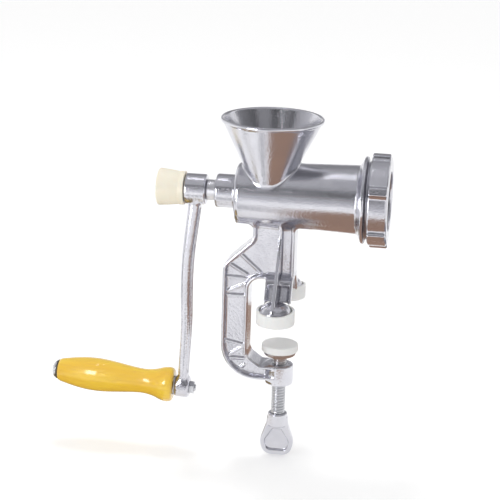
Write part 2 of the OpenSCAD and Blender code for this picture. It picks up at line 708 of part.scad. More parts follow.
module handle_bolt() color([0.72, 0.73, 0.75]) {
    dome_r = (bolt_head_r * bolt_head_r + bolt_head_h * bolt_head_h) / (2 * bolt_head_h);
    on_handle(-boss_half - nut_thickness - 1.4)
        cylinder(r = bolt_r, h = boss_half + nut_thickness + 1.4 + head_start + eps, $fn = 48);
    on_handle(head_start) intersection() {
        translate([0, 0, bolt_head_h - dome_r]) sphere(r = dome_r, $fn = round_fn);
        cylinder(r = bolt_head_r, h = bolt_head_h + 1, $fn = round_fn);
    }
}

module outer_washer() color([0.16, 0.14, 0.13])
    on_handle(grip_end + part_gap) ring(grip_washer_r, bolt_r + snug, grip_washer_t - eps);

module inner_washer() color([0.66, 0.66, 0.68])
    on_handle(boss_half) ring(grip_washer_r, bolt_r + snug, grip_washer_t);

module handle_nut() color([0.45, 0.45, 0.47]) on_handle(-boss_half - nut_thickness) difference() {
    cylinder(r = nut_flats / sqrt(3), h = nut_thickness - eps, $fn = 6);
    translate([0, 0, -1]) cylinder(r = bolt_r + snug, h = nut_thickness + 2, $fn = 48);
}

// ---- crank knob ----

module knob() color([0.97, 0.92, 0.80]) on_axis() difference() {
    rotate_extrude($fn = round_fn) polygon([[0, knob_end], [knob_outer_r - 1.4, knob_end],
        [knob_outer_r, knob_end + 1.4], [knob_inner_r - 0.3, knob_face - 4], [knob_inner_r + 0.1, knob_face - 3],
        [knob_inner_r + 0.1, knob_face - 0.4], [knob_inner_r - 0.3, knob_face], [0, knob_face]]);
    translate([0, 0, knob_face - knob_recess])
        cylinder(r = knob_washer_r + 0.4, h = knob_recess + 1, $fn = round_fn);
    translate([0, 0, stud_root]) cylinder(r = stud_r + snug, h = knob_length, $fn = 48);
}

module knob_stud() color([0.62, 0.63, 0.65])
    on_axis(stud_root + eps) chamfered(stud_r, stud_tip - stud_root, 0.7);

module knob_washer() color([0.70, 0.71, 0.73])
    on_axis(knob_face - knob_washer_t) ring(knob_washer_r, stud_r + part_gap, knob_washer_t);

// ---- foot caps ----

module foot_cap() translate([0, foot_spread, 0]) difference() {
    rotate_extrude($fn = round_fn) polygon([[0, 0], [cap_r - 1, 0], [cap_r, 1], [cap_r, cap_height - 0.6],
        [cap_r - 0.6, cap_height], [cap_r - cap_wall, cap_height], [cap_r - cap_wall, cap_sole], [0, cap_sole]]);
    translate([-cap_r - 1, 0, cap_height]) rotate([-atan((cap_height - cap_low) / cap_r), 0, 0])
        cube([2 * cap_r + 2, 2 * cap_r, cap_height]);
}

module foot_cap_front() color([0.95, 0.95, 0.94]) mirror([0, 1, 0]) foot_cap();
module foot_cap_rear() color([0.95, 0.95, 0.94]) foot_cap();

// ---- clamp screw ----

module clamp_screw() color([0.68, 0.69, 0.71]) {
    thread_top = pad_base - 2;
    ridge_count = floor((thread_top - wing_top - 3) / screw_pitch);
    translate([0, 0, wing_top - tang_length]) cylinder(r = tang_r, h = tang_length + 1, $fn = 48);
    rotate_extrude($fn = 48) polygon(concat(
        [[0, wing_top], [screw_r - thread_depth, wing_top]],
        ridges(screw_r, thread_depth, screw_pitch, wing_top + 2, ridge_count),
        [[screw_r - thread_depth, thread_top], [neck_r, thread_top + 1], [neck_r, head_top - head_t],
         [head_r, head_top - head_t], [head_r, head_top], [0, head_top]]));
}

wing_corners = [[-wing_hub_r, wing_top - 4, 0], [-wing_hub_r - 1, wing_base + 2, 6], [-wing_half, wing_base - 14, 14],
    [-wing_half + 3, wing_base - wing_drop, 9], [wing_half - 3, wing_base - wing_drop, 9],
    [wing_half, wing_base - 14, 14], [wing_hub_r + 1, wing_base + 2, 6], [wing_hub_r, wing_top - 4, 0]];
pocket_corners = [[-4, wing_base - 3, 2], [-wing_half + 4, wing_base - 14, 6],
    [-wing_half + 6, wing_base - wing_drop + 4.5, 5], [wing_half - 6, wing_base - wing_drop + 4.5, 5],
    [wing_half - 4, wing_base - 14, 6], [4, wing_base - 3, 2]];

module wing_handle() color([0.77, 0.78, 0.79]) difference() {
    union() {
        translate([0, 0, wing_base]) chamfered(wing_hub_r, wing_hub_h, 1.2);
        plate_xz(wing_thickness / 2) polygon(outline(wing_corners));
    }
    for (side = [-1, 1]) translate([0, side * (wing_thickness / 2 + 0.9), 0])
        plate_xz(wing_thickness / 2 - 0.9) polygon(outline(pocket_corners));
    translate([0, 0, wing_top - tang_length]) cylinder(r = tang_r + snug, h = tang_length + 1, $fn = 48);
}

module clamp_pad() color([0.70, 0.71, 0.73]) translate([0, 0, pad_base]) difference() {
    chamfered(pad_r, pad_thickness, 0.8);
    translate([0, 0, -1]) cylinder(r = neck_r + part_gap, h = pad_thickness, $fn = 48);
    translate([0, 0, head_top - head_t - part_gap - pad_base])
        cylinder(r = head_r + part_gap, h = head_t + 2 * part_gap, $fn = 48);
}

module pad_cap() color([0.95, 0.95, 0.94]) translate([0, 0, pad_metal - pad_skirt]) difference() {
    chamfered(pad_r + pad_cap_wall, pad_cap_t + pad_skirt, 0.8);
    translate([0, 0, -1]) cylinder(r = pad_r + snug, h = pad_skirt + 1, $fn = round_fn);
}

body_casting();
plate_key_pin();
auger();
thrust_washer();
knife_stud();
knife();
grinding_plate();
ring_nut();
crank_arm();
knob();
knob_stud();
knob_washer();
handle_grip();
handle_bolt();
outer_washer();
inner_washer();
handle_nut();
foot_cap_front();
foot_cap_rear();
clamp_screw();
wing_handle();
clamp_pad();
pad_cap();
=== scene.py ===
# %% [markdown]
# # A hand crank meat grinder for the edge of a table
# The real grinder is a handful of aluminium castings with a few turned, ground and moulded
# pieces on them. Its solid shapes, sizes and joints come ready-made as a frame, in metres, with
# the table top at height 0. What this lesson adds is everything that makes the pieces look real:
# the rounded inner corners of a casting, threads that really climb, turned wood, and finishes.

# %% Load the frame that every piece sits on
import math

import bmesh
import bpy
import numpy as np
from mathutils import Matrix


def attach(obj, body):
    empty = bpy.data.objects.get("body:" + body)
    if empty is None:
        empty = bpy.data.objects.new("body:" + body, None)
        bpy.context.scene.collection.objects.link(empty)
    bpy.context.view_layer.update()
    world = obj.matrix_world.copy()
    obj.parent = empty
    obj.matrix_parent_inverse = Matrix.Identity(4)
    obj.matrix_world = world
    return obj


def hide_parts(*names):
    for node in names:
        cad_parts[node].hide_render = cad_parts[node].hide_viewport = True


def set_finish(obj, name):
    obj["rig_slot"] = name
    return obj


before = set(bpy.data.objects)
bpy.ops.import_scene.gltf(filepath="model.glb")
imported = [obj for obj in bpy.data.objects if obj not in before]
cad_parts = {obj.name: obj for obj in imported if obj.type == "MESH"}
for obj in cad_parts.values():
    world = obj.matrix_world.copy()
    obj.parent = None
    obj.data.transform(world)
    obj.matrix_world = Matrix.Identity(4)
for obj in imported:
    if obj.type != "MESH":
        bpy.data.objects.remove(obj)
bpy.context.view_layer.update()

import openvdb
from mathutils import Matrix, Vector

MM = 0.001
AXIS_Z = 100.0          # height of the worm's axis, in millimetres like every shape below
EMPTY = 30.0            # the distance that fills a block before anything is in it
MARGIN = 4              # grid steps of empty space around a block
CLEARANCE = 3           # millimetres around a shape in which distances have to be right

# %% [markdown]
# ## Clay for castings
# Molten aluminium can't fill a sharp inner corner, so on a casting each form flows into the next
# with a small round fillet. Booleans with bevels tend to break where four forms meet. Here each
# casting is a block of numbers instead: at every point of a grid, the distance to the metal,
# negative inside it. Two such fields can be joined with a fillet of any radius by plain
# arithmetic, and Blender's own OpenVDB library then wraps the result in one clean mesh.

# %% A clay block and its round joints
def round_join(a, b, radius):
    """Both fields together, with an inner corner of this radius where they meet."""
    gap_a, gap_b = np.maximum(radius - a, 0), np.maximum(radius - b, 0)
    return np.maximum(radius, np.minimum(a, b)) - np.sqrt(gap_a * gap_a + gap_b * gap_b)


def round_common(a, b, radius):
    """What both fields share, with an outer corner of this radius where their faces meet."""
    return -round_join(-a, -b, radius)


class Clay:
    """A block of distances in millimetres, negative inside the metal."""

    def __init__(self, low, high, step):
        self.step = step * 1.0
        self.low = np.array(low, float) - MARGIN * self.step
        self.count = np.ceil((np.array(high) + MARGIN * self.step - self.low) / self.step).astype(int) + 1
        self.field = np.full(self.count, EMPTY, np.float32)

    def spot(self, low, high, margin):
        """The part of the block around a shape, with its grid's x, y and z."""
        first = np.floor((np.array(low) - margin - self.low) / self.step).astype(int).clip(0)
        last = np.ceil((np.array(high) + margin - self.low) / self.step).astype(int) + 1
        first, last = np.minimum(first, self.count - 2), np.minimum(last, self.count)
        x, y, z = [(self.low[i] + self.step * np.arange(first[i], last[i])).astype(np.float32)
                   for i in range(3)]
        view = self.field[first[0]:last[0], first[1]:last[1], first[2]:last[2]]
        return view, x[:, None, None], y[None, :, None], z[None, None, :]

    def add(self, shape, low, high, fillet=1.0):
        view, x, y, z = self.spot(low, high, fillet + CLEARANCE)
        view[...] = round_join(view, shape(x, y, z).astype(np.float32), fillet)

    def cut(self, shape, low, high, edge=0.5):
        view, x, y, z = self.spot(low, high, edge + CLEARANCE)
        view[...] = -round_join(-view, shape(x, y, z).astype(np.float32), edge)

# %% [markdown]
# Most forms of the castings start as a flat outline with rounded corners: pulled straight, it
# makes a plate, and turned about an axis, it makes a barrel. So two helpers are enough. One
# measures how far points lie from an outline, and the other looks that up around an axis.

# %% Outlines, plates and turned forms
def outline(corners, steps=8):
    """Points of an outline from corners (u, v, radius)."""
    points, n = [], len(corners)
    for i, (u, v, radius) in enumerate(corners):
        here = np.array((u, v), float)
        back = np.array(corners[i - 1][:2], float) - here
        on = np.array(corners[(i + 1) % n][:2], float) - here
        if not radius:
            points.append((u, v))
            continue
        back, on = back / np.linalg.norm(back), on / np.linalg.norm(on)
        half = math.acos(np.clip(back @ on, -1, 1)) / 2
        middle = here + (back + on) / np.linalg.norm(back + on) * radius / math.sin(half)
        start = here + back * radius / math.tan(half) - middle
        sweep = math.copysign(math.pi - 2 * half, on[0] * back[1] - on[1] * back[0])
        for k in range(steps + 1):
            c, s = math.cos(sweep * k / steps), math.sin(sweep * k / steps)
            turned = np.array((start[0] * c - start[1] * s, start[0] * s + start[1] * c))
            points.append(tuple(middle + turned))
    return points


def off_outline(points, u, v):
    """Signed distance from (u, v) to a closed outline, negative inside."""
    shape = np.broadcast(u, v).shape
    best, inside = np.full(shape, 1e9), np.zeros(shape, bool)
    for (au, av), (bu, bv) in zip(points, points[1:] + points[:1]):
        eu, ev = bu - au, bv - av
        if eu * eu + ev * ev < 1e-12:
            continue
        wu, wv = u - au, v - av
        t = np.clip((wu * eu + wv * ev) / (eu * eu + ev * ev), 0, 1)
        best = np.minimum(best, (wu - t * eu) ** 2 + (wv - t * ev) ** 2)
        if ev:
            inside ^= ((av <= v) != (bv <= v)) & (wu < wv * eu / ev)
    return np.where(inside, -1.0, 1.0) * np.sqrt(best)


def turned_field(points, along, radius, pitch=0.2):
    """Distance to an outline (station, radius) turned about an axis."""
    reach = np.arange(0, float(radius.max()) + 2 * pitch, pitch)
    table = off_outline(points, along.reshape(-1, 1).astype(float), reach[None, :])
    k = radius / pitch
    k0 = np.floor(k).astype(int)
    row = np.arange(along.size).reshape(along.shape)
    share = k - k0
    return table[row, k0] * (1 - share) + table[row, k0 + 1] * share


def about_x(y, z):
    return np.sqrt(y * y + (z - AXIS_Z) ** 2)


def about_z(x, y):
    return np.sqrt(x * x + y * y)


def square_off(y, z):
    """Half the width of the square about the worm's axis that a point lies on."""
    return np.maximum(np.abs(y), np.abs(z - AXIS_Z))


def slab(value, low, high):
    """Distance to the space between two parallel planes."""
    return np.maximum(low - value, value - high)


def lathe_x(points):
    """The form that an outline (x, radius) makes about the worm's axis."""
    return lambda x, y, z: turned_field(points, x, about_x(y, z))


def lathe_z(points):
    """The form that an outline (z, radius) makes about the clamp screw's axis."""
    return lambda x, y, z: turned_field(points, z, about_z(x, y))


def rod_x(radius, low, high):
    return lambda x, y, z: np.maximum(about_x(y, z) - radius, slab(x, low, high))


def rod_z(radius, low, high):
    return lambda x, y, z: np.maximum(about_z(x, y) - radius, slab(z, low, high))


def square_x(half, low, high):
    return lambda x, y, z: np.maximum(square_off(y, z) - half, slab(x, low, high))


def thread_groove(climb, angle):
    """Depth of a thread's groove, 0 to 1, after so many pitches of climb."""
    phase = (climb - angle / (2 * math.pi)) % 1.0
    return np.clip(2.6 * np.abs(phase - 0.5) - 0.28, 0, 0.8) / 0.8


def thread_field(x, y, z, crest, depth, pitch):
    """A bar along the worm's axis whose surface falls and rises once each pitch as it climbs."""
    groove = thread_groove(x / pitch, np.arctan2(z - AXIS_Z, y))
    return (about_x(y, z) - crest + depth * groove) * 0.85

# %% [markdown]
# OpenVDB turns the block into quads, many of them on flat places that don't need them. A Decimate
# modifier thins those out, and smooth shading hides the facets that are left.

# %% From clay to a mesh that rides on its body
pieces = {}


def place(name, mesh, body, nodes, slot):
    """Links a finished mesh, lets it ride on a body and stand for the frame's plain pieces."""
    piece = bpy.data.objects.new(name, mesh)
    bpy.context.scene.collection.objects.link(piece)
    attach(piece, body)
    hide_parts(*nodes)
    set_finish(piece, slot)
    pieces[name] = piece
    return piece


def apply_modifiers(piece):
    """Bakes the modifiers into the mesh, so that later steps work on the final shape."""
    bpy.context.view_layer.update()
    done = bpy.data.meshes.new_from_object(piece.evaluated_get(bpy.context.evaluated_depsgraph_get()))
    piece.modifiers.clear()
    piece.data = done


def fire(clay, name, body, nodes, slot, most_faces=90000, relax=2):
    """Wraps a clay block in a mesh and makes it a piece."""
    grid = openvdb.FloatGrid(EMPTY)
    grid.copyFromArray(clay.field)
    points, quads = grid.convertToQuads(0.0)
    mesh = bpy.data.meshes.new(name)
    mesh.from_pydata(((points * clay.step + clay.low) * MM).tolist(), [], quads[:, ::-1].tolist())
    mesh.validate()
    piece = place(name, mesh, body, nodes, slot)
    soften = piece.modifiers.new("relax", "SMOOTH")
    soften.factor, soften.iterations = 0.5, relax
    triangles = 2 * len(quads)
    if triangles > most_faces:
        piece.modifiers.new("thin", "DECIMATE").ratio = most_faces / triangles
    apply_modifiers(piece)
    piece.data.shade_smooth()
    print(name, "quads", len(quads), "kept faces", len(piece.data.polygons))


def carve(shape, low, high, step, *fired, **how):
    """Fires a clay block that holds a single shape."""
    clay = Clay(low, high, step)
    clay.add(shape, low, high, 0)
    fire(clay, *fired, **how)

# %% [markdown]
# ## The body
# One casting carries everything: the funnel above, the barrel with its bearing boss and threaded
# mouth, the C-shaped frame that reaches round the table's edge, and two legs. The barrel is an
# outline turned about the worm's axis. Its mouth flares to a flange, with the thread cut on the
# spigot in front of it as one climbing groove, so that the ring nut really could screw on.

# %% Barrel, bearing boss and spigot
PITCH = 2.5             # of the threads on the mouth and on the clamp screw
barrel_outline = outline([(-40.5, 0, 0), (-40.5, 25, 4.5), (61, 28.5, 3), (64.5, 36, 1.0), (67.2, 36, 1.0),
                          (67.2, 0, 0)])
boss_outline = outline([(-57.5, 0, 0), (-57.5, 14, 1.6), (-38, 14, 0), (-38, 0, 0)])
chamber_outline = [(-34.5, 0), (-34.5, 21.5), (61, 25), (75.9, 25), (75.9, 27.3), (81, 27.3), (81, 0)]


def spigot(x, y, z):
    return np.maximum(thread_field(x, y, z, 32.2, 0.9, PITCH), slab(x, 66, 79.5))


body_clay = Clay((-58, -53, -66), (80, 53, 164.4), 0.7)
body_clay.add(lathe_x(barrel_outline), (-41, -36, 64), (68, 36, 136), 0.2)
body_clay.add(lathe_x(boss_outline), (-58, -14, 86), (-38, 14, 114), 1.6)
body_clay.add(spigot, (66, -33, 67), (80, 33, 133), 0.4)
print("clay block:", "x".join(map(str, body_clay.count)), "points")

# %% [markdown]
# The funnel is round at its rim and a squarish oval where it sinks into the barrel, with straight
# sides in between. At each height the wall is such an oval, so the distance comes from how far a
# point lies outside it, divided by how fast that changes. The fillet of 2 mm around its foot is what
# catches the bright curved line on such grinders.

# %% Funnel and rim
FUNNEL_X = -12.5
FUNNEL_RISE = 63.2                      # from the worm's axis to where the cone ends
FUNNEL_FOOT, FUNNEL_SPREAD = (10.1, 19.6), (31.8, 22.3)     # half widths there, and what they gain
FUNNEL_WALL = 2.35


def funnel(x, y, z):
    share = np.clip((z - AXIS_Z) / FUNNEL_RISE, -0.1, 1.2)
    half_x, half_y = (foot + spread * share for foot, spread in zip(FUNNEL_FOOT, FUNNEL_SPREAD))
    power = 2.5 - 0.5 * share
    u, v = np.abs(x - FUNNEL_X) / half_x, np.abs(y) / half_y
    level = (u ** power + v ** power) ** (1 / power) + 1e-6
    along_x, along_y = (u / level) ** (power - 1) / half_x, (v / level) ** (power - 1) / half_y
    lean = (u * along_x * FUNNEL_SPREAD[0] + v * along_y * FUNNEL_SPREAD[1]) / FUNNEL_RISE
    return (level - 1) / np.sqrt(along_x ** 2 + along_y ** 2 + lean * lean)


def funnel_outside(x, y, z):
    return np.maximum(funnel(x, y, z), slab(z, 80, 163.4))


def funnel_inside(x, y, z):
    return np.maximum(funnel(x, y, z) + FUNNEL_WALL, slab(z, 104, 170))


rim_outline = outline([(161.0, 39.7, 0.6), (161.0, 42.4, 1.2), (164.2, 42.4, 1.3), (164.2, 39.7, 1.0)])


def rim(x, y, z):
    return turned_field(rim_outline, z, about_z(x - FUNNEL_X, y))


body_clay.add(funnel_outside, (-55, -43, 80), (31, 43, 163.4), 2.0)
print("funnel added")

# %% [markdown]
# The clamp frame is a plate with a raised rim and a sunken web, which is stiff for its weight.
# Its outline is drawn once: the plate uses it as it is, and the sunken pocket on each face is
# the same outline 2.6 mm further in. Thin ribs fan out from the jaw's corners, where such a
# frame would crack first.

# %% Clamp frame with its pockets and ribs
frame_outline = outline([
    (-38.5, 85, 0), (-38.5, 77, 0), (-24.5, 77, 6), (-24.5, 62.3, 9), (-49, 39.3, 12), (-49, -60.5, 30),
    (0, -60.5, 0), (0, -48, 0), (-15.9, -48, 3), (-27, -40, 9), (-27, 29, 10), (10.5, 29, 2),
    (10.5, 77, 5), (22.5, 77, 0), (22.5, 85, 0)])
FRAME_HALF, WEB_HALF, WEB_INSET = 12, 6, 2.6
RIB_HALF, RIB_WIDTH, RIB_LENGTH = 6.9, 2.2, 40      # a rib's length is cut by the frame's rim
# where each rib starts at the jaw's side, and the way it points, in degrees
WEB_RIBS = [(-17, 32.6, 139), (-28, 30, 150), (-29, 27.4, 179), (-29, 23, 206), (-29, 12, 181),
            (-29, -32, 169), (-29, -32, 215), (-29, -44, 180), (-28.6, -49, 222)]


def clamp_frame(x, y, z):
    flat = off_outline(frame_outline, x, z)
    plate = round_common(flat, np.abs(y) - FRAME_HALF, 1.2)
    pocket = round_common(flat + WEB_INSET, WEB_HALF - np.abs(y), 1.5)
    plate = -round_join(-plate, pocket, 0.8)
    ribs = np.full(flat.shape, EMPTY)
    for rib_x, rib_z, angle in WEB_RIBS:
        c, s = math.cos(math.radians(angle)), math.sin(math.radians(angle))
        along, across = (x - rib_x) * c + (z - rib_z) * s, (z - rib_z) * c - (x - rib_x) * s
        rib = np.maximum(np.abs(across) - RIB_WIDTH / 2, slab(along, 0, RIB_LENGTH))
        ribs = np.minimum(ribs, rib)
    ribs = round_common(np.maximum(ribs, flat + WEB_INSET / 2), np.abs(y) - RIB_HALF, 0.5)
    return round_join(plate, ribs, 0.7)


body_clay.add(clamp_frame, (-50, -12, -61), (23, 12, 85), 4.0)
print("frame added with", len(WEB_RIBS), "ribs")

# %% [markdown]
# The two legs are mirror images, so their shape is drawn with the distance from the middle plane
# and one drawing makes both. Each is a slanted plate across the frame with a sunken pocket on
# either side of a middle rib, and it ends in a round stub that sits in a foot cap.

# %% Legs, foot stubs and screw boss
FEET_Y = 36.9           # each foot's centre, left and right of the middle plane
leg_outline = outline([(2, 33.5, 0), (0, 31, 0), (8, 28, 6), (22, 8, 6), (22, 2.4, 0), (FEET_Y, 2.4, 0),
                       (FEET_Y, 13.5, 0), (26.5, 12, 4), (16.5, 31, 1.5)])
pocket_outline = outline([(13.5, 27, 1), (22.5, 13, 2), (42.9, 13, 0), (42.9, 27, 0)])
rib_outline = outline([(4, 78, 0), (0, 31, 0), (8, 28, 6), (22, 8, 0), (22, 2.4, 0), (48.8, 2.4, 0),
                       (48.8, 14, 4), (40.9, 24, 9), (18, 52, 26), (12.5, 66, 0), (12.5, 78, 0)])
stub_outline = outline([(2.4, 0, 0), (2.4, 13.45, 0), (10.5, 13.45, 1.5), (15, 10.45, 2), (17, 7.4, 2),
                        (17, 0, 0)])
screw_boss_outline = outline([(-65.5, 0, 0), (-65.5, 12, 1.2), (-48, 12, 1.2), (-48, 0, 0)])


def foot_distance(x, y):
    return about_z(x, np.abs(y) - FEET_Y)


def legs(x, y, z):
    side = np.abs(y)
    plate = round_common(off_outline(leg_outline, side, z), slab(x, -12, 10.5), 0.8)
    pocket = off_outline(pocket_outline, side, z)
    for x0, x1 in ((-9.6, -3.0), (0.0, 8.1)):
        plate = -round_join(-plate, round_common(pocket, slab(x, x0, x1), 1.6), 0.6)
    rib = round_common(off_outline(rib_outline, side, z), slab(x, -3, 0), 0.7)
    plate = round_join(plate, rib, 1.2)
    around_cap = np.maximum(slab(foot_distance(x, y), 13.0, 19.8), slab(z, -5, 13.3))
    return np.maximum(plate, -around_cap)


def foot_stubs(x, y, z):
    return turned_field(stub_outline, z, foot_distance(x, y))


body_clay.add(legs, (-12, -49, 2), (11, 49, 78), 1.2)
body_clay.add(foot_stubs, (-14, -51, 2), (14, 51, 17), 0.8)
body_clay.add(lathe_z(screw_boss_outline), (-12, -12, -66), (12, 12, -48), 1.6)
print("legs and boss added")

# %% [markdown]
# Cutting is joining turned inside out. The barrel's chamber, the funnel's inside and the bores
# come last, so that they run clean through every form that was added before them. The rim's bead
# goes on after the funnel is hollow, because it has to stand on the finished wall.

# %% Hollow it out and wrap it
body_clay.cut(funnel_inside, (-55, -43, 104), (31, 43, 166), 0.6)
body_clay.add(rim, (-55, -43, 160), (31, 43, 164.2), 0.8)
body_clay.cut(lathe_x(chamber_outline), (-35, -28, 72), (81, 28, 128), 0.4)
body_clay.cut(rod_x(8.56, -59, -33), (-59, -9, 91), (-33, 9, 109), 0.4)
body_clay.cut(rod_z(6.06, -67, -47), (-7, -7, -67), (7, 7, -47), 0.4)
fire(body_clay, "grinder_body", "casting", ["body_casting"], "cast_aluminium", 190000)
del body_clay

# %% [markdown]
# ## The ring nut
# The nut that closes the mouth is a casting too: a ring with six lugs to grip, a thread inside
# and a lip that holds the plate. Its cross-section is one flat shape, a circle joined to six
# trapezoids with small fillets, which is then pulled along the axis.

# %% Ring nut
lug_outline = outline([(33, -5.2, 0), (40.2, -3.4, 1.4), (40.2, 3.4, 1.4), (33, 5.2, 0)])
LUG_ANGLES = [math.radians(25 + 60 * k) for k in range(6)]
ring_core_outline = outline([(69.9, 0, 0), (69.9, 36.4, 1.0), (86.2, 35.8, 1.5), (86.2, 0, 0)])
ring_bore_outline = outline([(69, 0, 0), (69, 33.2, 0), (70.6, 32.5, 0), (83.2, 32.5, 0.6), (83.2, 24.5, 0.6),
                             (85.0, 24.5, 0.4), (87, 26.5, 0), (87, 0, 0)])


def ring_outside(x, y, z):
    up = z - AXIS_Z
    flat = about_x(y, z) - 36.8
    for angle in LUG_ANGLES:
        c, s = math.cos(angle), math.sin(angle)
        out, side = -y * c + up * s, y * s + up * c
        flat = round_join(flat, off_outline(lug_outline, out, side), 2.2)
    ring = round_common(np.broadcast_to(flat, np.broadcast(flat, x).shape), slab(x, 70.5, 85.6), 1.3)
    return round_join(ring, turned_field(ring_core_outline, x, about_x(y, z)), 0.6)


def ring_groove(x, y, z):
    """The nut's thread is the spigot's own, a little larger, cut into the bore."""
    return np.maximum(thread_field(x, y, z, 33.4, 1.3, PITCH), slab(x, 69.9, 80.4))


ring_clay = Clay((69, -41, 59), (87, 41, 141), 0.5)
ring_clay.add(ring_outside, (69.9, -41, 59), (86.2, 41, 141), 0)
ring_clay.cut(lathe_x(ring_bore_outline), (69, -34, 66), (87, 34, 134), 0.3)
ring_clay.cut(ring_groove, (69, -34, 66), (81, 34, 134), 0.15)
fire(ring_clay, "mouth_ring_nut", "ring", ["ring_nut"], "cast_aluminium", 120000)

# %% [markdown]
# ## The crank arm
# The crank is an H-shaped casting that leans and bows outwards on its way down, so that the hand
# clears the table. Its middle line is a short formula. The two flanges stand off the web on
# either side, and each flange's outer face is crowned, so that it shows dark and light bands
# along its length as a rounded bar does.

# %% Crank arm
CRANK = 176.5                           # from the worm's axis to the handle's, along z
FOOT = np.array((-83.2, 0, AXIS_Z - CRANK))
HANDLE_TILT = math.radians(3.2)
HANDLE = np.array((-math.cos(HANDLE_TILT), 0, math.sin(HANDLE_TILT)))
BOW, BOW_LENGTH = 2.9, 0.76             # how far it bows out, and over which share of its length
BOLT_HOLE = 3.04                        # radius of every hole that the handle's bolt goes through
hub_outline = outline([(-83.5, 0, 0), (-83.5, 12.7, 1.4), (-65.5, 12.7, 1.4), (-65.5, 0, 0)])


def off_handle(x, y, z):
    """Distance along the handle's tilted axis, across it in the arm's plane, and away from it."""
    along = (x - FOOT[0]) * HANDLE[0] + (z - FOOT[2]) * HANDLE[2]
    across = (x - FOOT[0]) * HANDLE[2] - (z - FOOT[2]) * HANDLE[0]
    return along, across, np.sqrt(across * across + y * y)


def arm(x, y, z):
    t = np.clip((AXIS_Z - z) / CRANK, 0, 1)
    middle = -74.5 - 8.7 * t - BOW * np.sin(np.pi * np.minimum(t / BOW_LENGTH, 1)) ** 2
    off = np.abs(x - middle)
    thick, wide = 5 - 1.2 * t, 9 - 2.5 * t
    bar = round_common(off - thick, np.abs(y) - wide + 0.07 * off * off, 1.6)
    bar = np.maximum(bar, slab(z, FOOT[2], AXIS_Z))
    pocket = round_common(1.8 - off, np.abs(y) - (wide - 3.4) + 0.1 * off, 1.6)
    pocket = round_common(pocket, slab(z, -64.5, 84), 3.0)
    return -round_join(-bar, pocket, 0.7)


def foot_boss(x, y, z):
    along, _, away = off_handle(x, y, z)
    return round_common(away - 9.3, np.abs(along) - 6.25, 2.4)


def bolt_hole(x, y, z):
    along, _, away = off_handle(x, y, z)
    return np.maximum(away - BOLT_HOLE, np.abs(along) - 8)


arm_clay = Clay((-93, -13, -88), (-65, 13, 113), 0.5)
arm_clay.add(arm, (-92, -10, -77), (-68, 10, 100), 0)
arm_clay.add(lathe_x(hub_outline), (-84, -13, 87), (-65, 13, 113), 2.5)
arm_clay.add(foot_boss, (-91, -10, -87), (-76, 10, -66), 3.0)
arm_clay.cut(square_x(5.6, -85, -64), (-85, -6, 94), (-64, 6, 106), 0.3)
arm_clay.cut(bolt_hole, (-92, -4, -81), (-75, 4, -72), 0.3)
fire(arm_clay, "crank_arm_casting", "crank", ["crank_arm"], "cast_aluminium", 110000)

# %% [markdown]
# ## The wing
# The clamp screw is turned by a cast paddle with a rim around a sunken field, like the frame's.

# %% Wing handle
wing_outline = outline([(-8.4, -96.5, 0), (-9.4, -102.5, 6), (-14.8, -118.5, 14), (-11.8, -131.5, 9),
                        (11.8, -131.5, 9), (14.8, -118.5, 14), (9.4, -102.5, 6), (8.4, -96.5, 0)])
field_outline = outline([(-4, -107.5, 2), (-10.8, -118.5, 6), (-8.8, -127, 5), (8.8, -127, 5),
                         (10.8, -118.5, 6), (4, -107.5, 2)])
wing_hub_outline = outline([(-104.5, 0, 0), (-104.5, 8.4, 1.6), (-92.5, 8.4, 1.4), (-92.5, 0, 0)])


def paddle(x, y, z):
    plate = round_common(off_outline(wing_outline, x, z), slab(y, -3, 3), 1.3)
    return -round_join(-plate, round_common(off_outline(field_outline, x, z), 0.9 - np.abs(y), 1.2), 0.6)


wing_clay = Clay((-15, -9, -132), (15, 9, -92), 0.4)
wing_clay.add(paddle, (-15, -3, -132), (15, 3, -96), 0)
wing_clay.add(lathe_z(wing_hub_outline), (-9, -9, -105), (9, 9, -92), 1.8)
wing_clay.cut(rod_z(4.84, -102, -90), (-5, -5, -102), (5, 5, -92), 0.3)
fire(wing_clay, "clamp_wing", "screw", ["wing_handle"], "cast_aluminium", 40000)

# %% [markdown]
# ## Foot caps
# The white caps are moulded cups of soft plastic. Each is turned, with its outer side cut lower
# so that it can be thumbed off the foot.

# %% Foot caps
CAP_R, CAP_TALL, CAP_DROP = 15.8, 13, 2.7           # the drop is how much lower the outer side is
cap_outline = outline([(0, 0, 0), (0, CAP_R, 1.3), (CAP_TALL, CAP_R, 0.8), (CAP_TALL, 13.5, 0.7),
                       (2.4, 13.5, 1.0), (2.4, 0, 0)])
for name, side, plain in (("front_foot_cap", -1, "foot_cap_front"), ("rear_foot_cap", 1, "foot_cap_rear")):
    def cap(x, y, z, side=side):
        out = side * y - FEET_Y
        slope = (z - CAP_TALL + CAP_DROP * np.maximum(out, 0) / CAP_R) * 0.985
        return round_common(turned_field(cap_outline, z, about_z(x, out)), slope, 0.7)

    middle = side * FEET_Y
    carve(cap, (-16, middle - 16, 0), (16, middle + 16, 13.2), 0.4,
          name, "casting", [plain], "white_plastic", 40000)

# %% [markdown]
# ## Turned pieces
# Screws, washers, the knob and the wooden grip are all lathe work. Clay would waste points on
# them, so these are built the way a lathe does it: an outline goes round an axis, ring by ring.
# Where a thread is wanted, the radius of each ring point also depends on how far round it is.

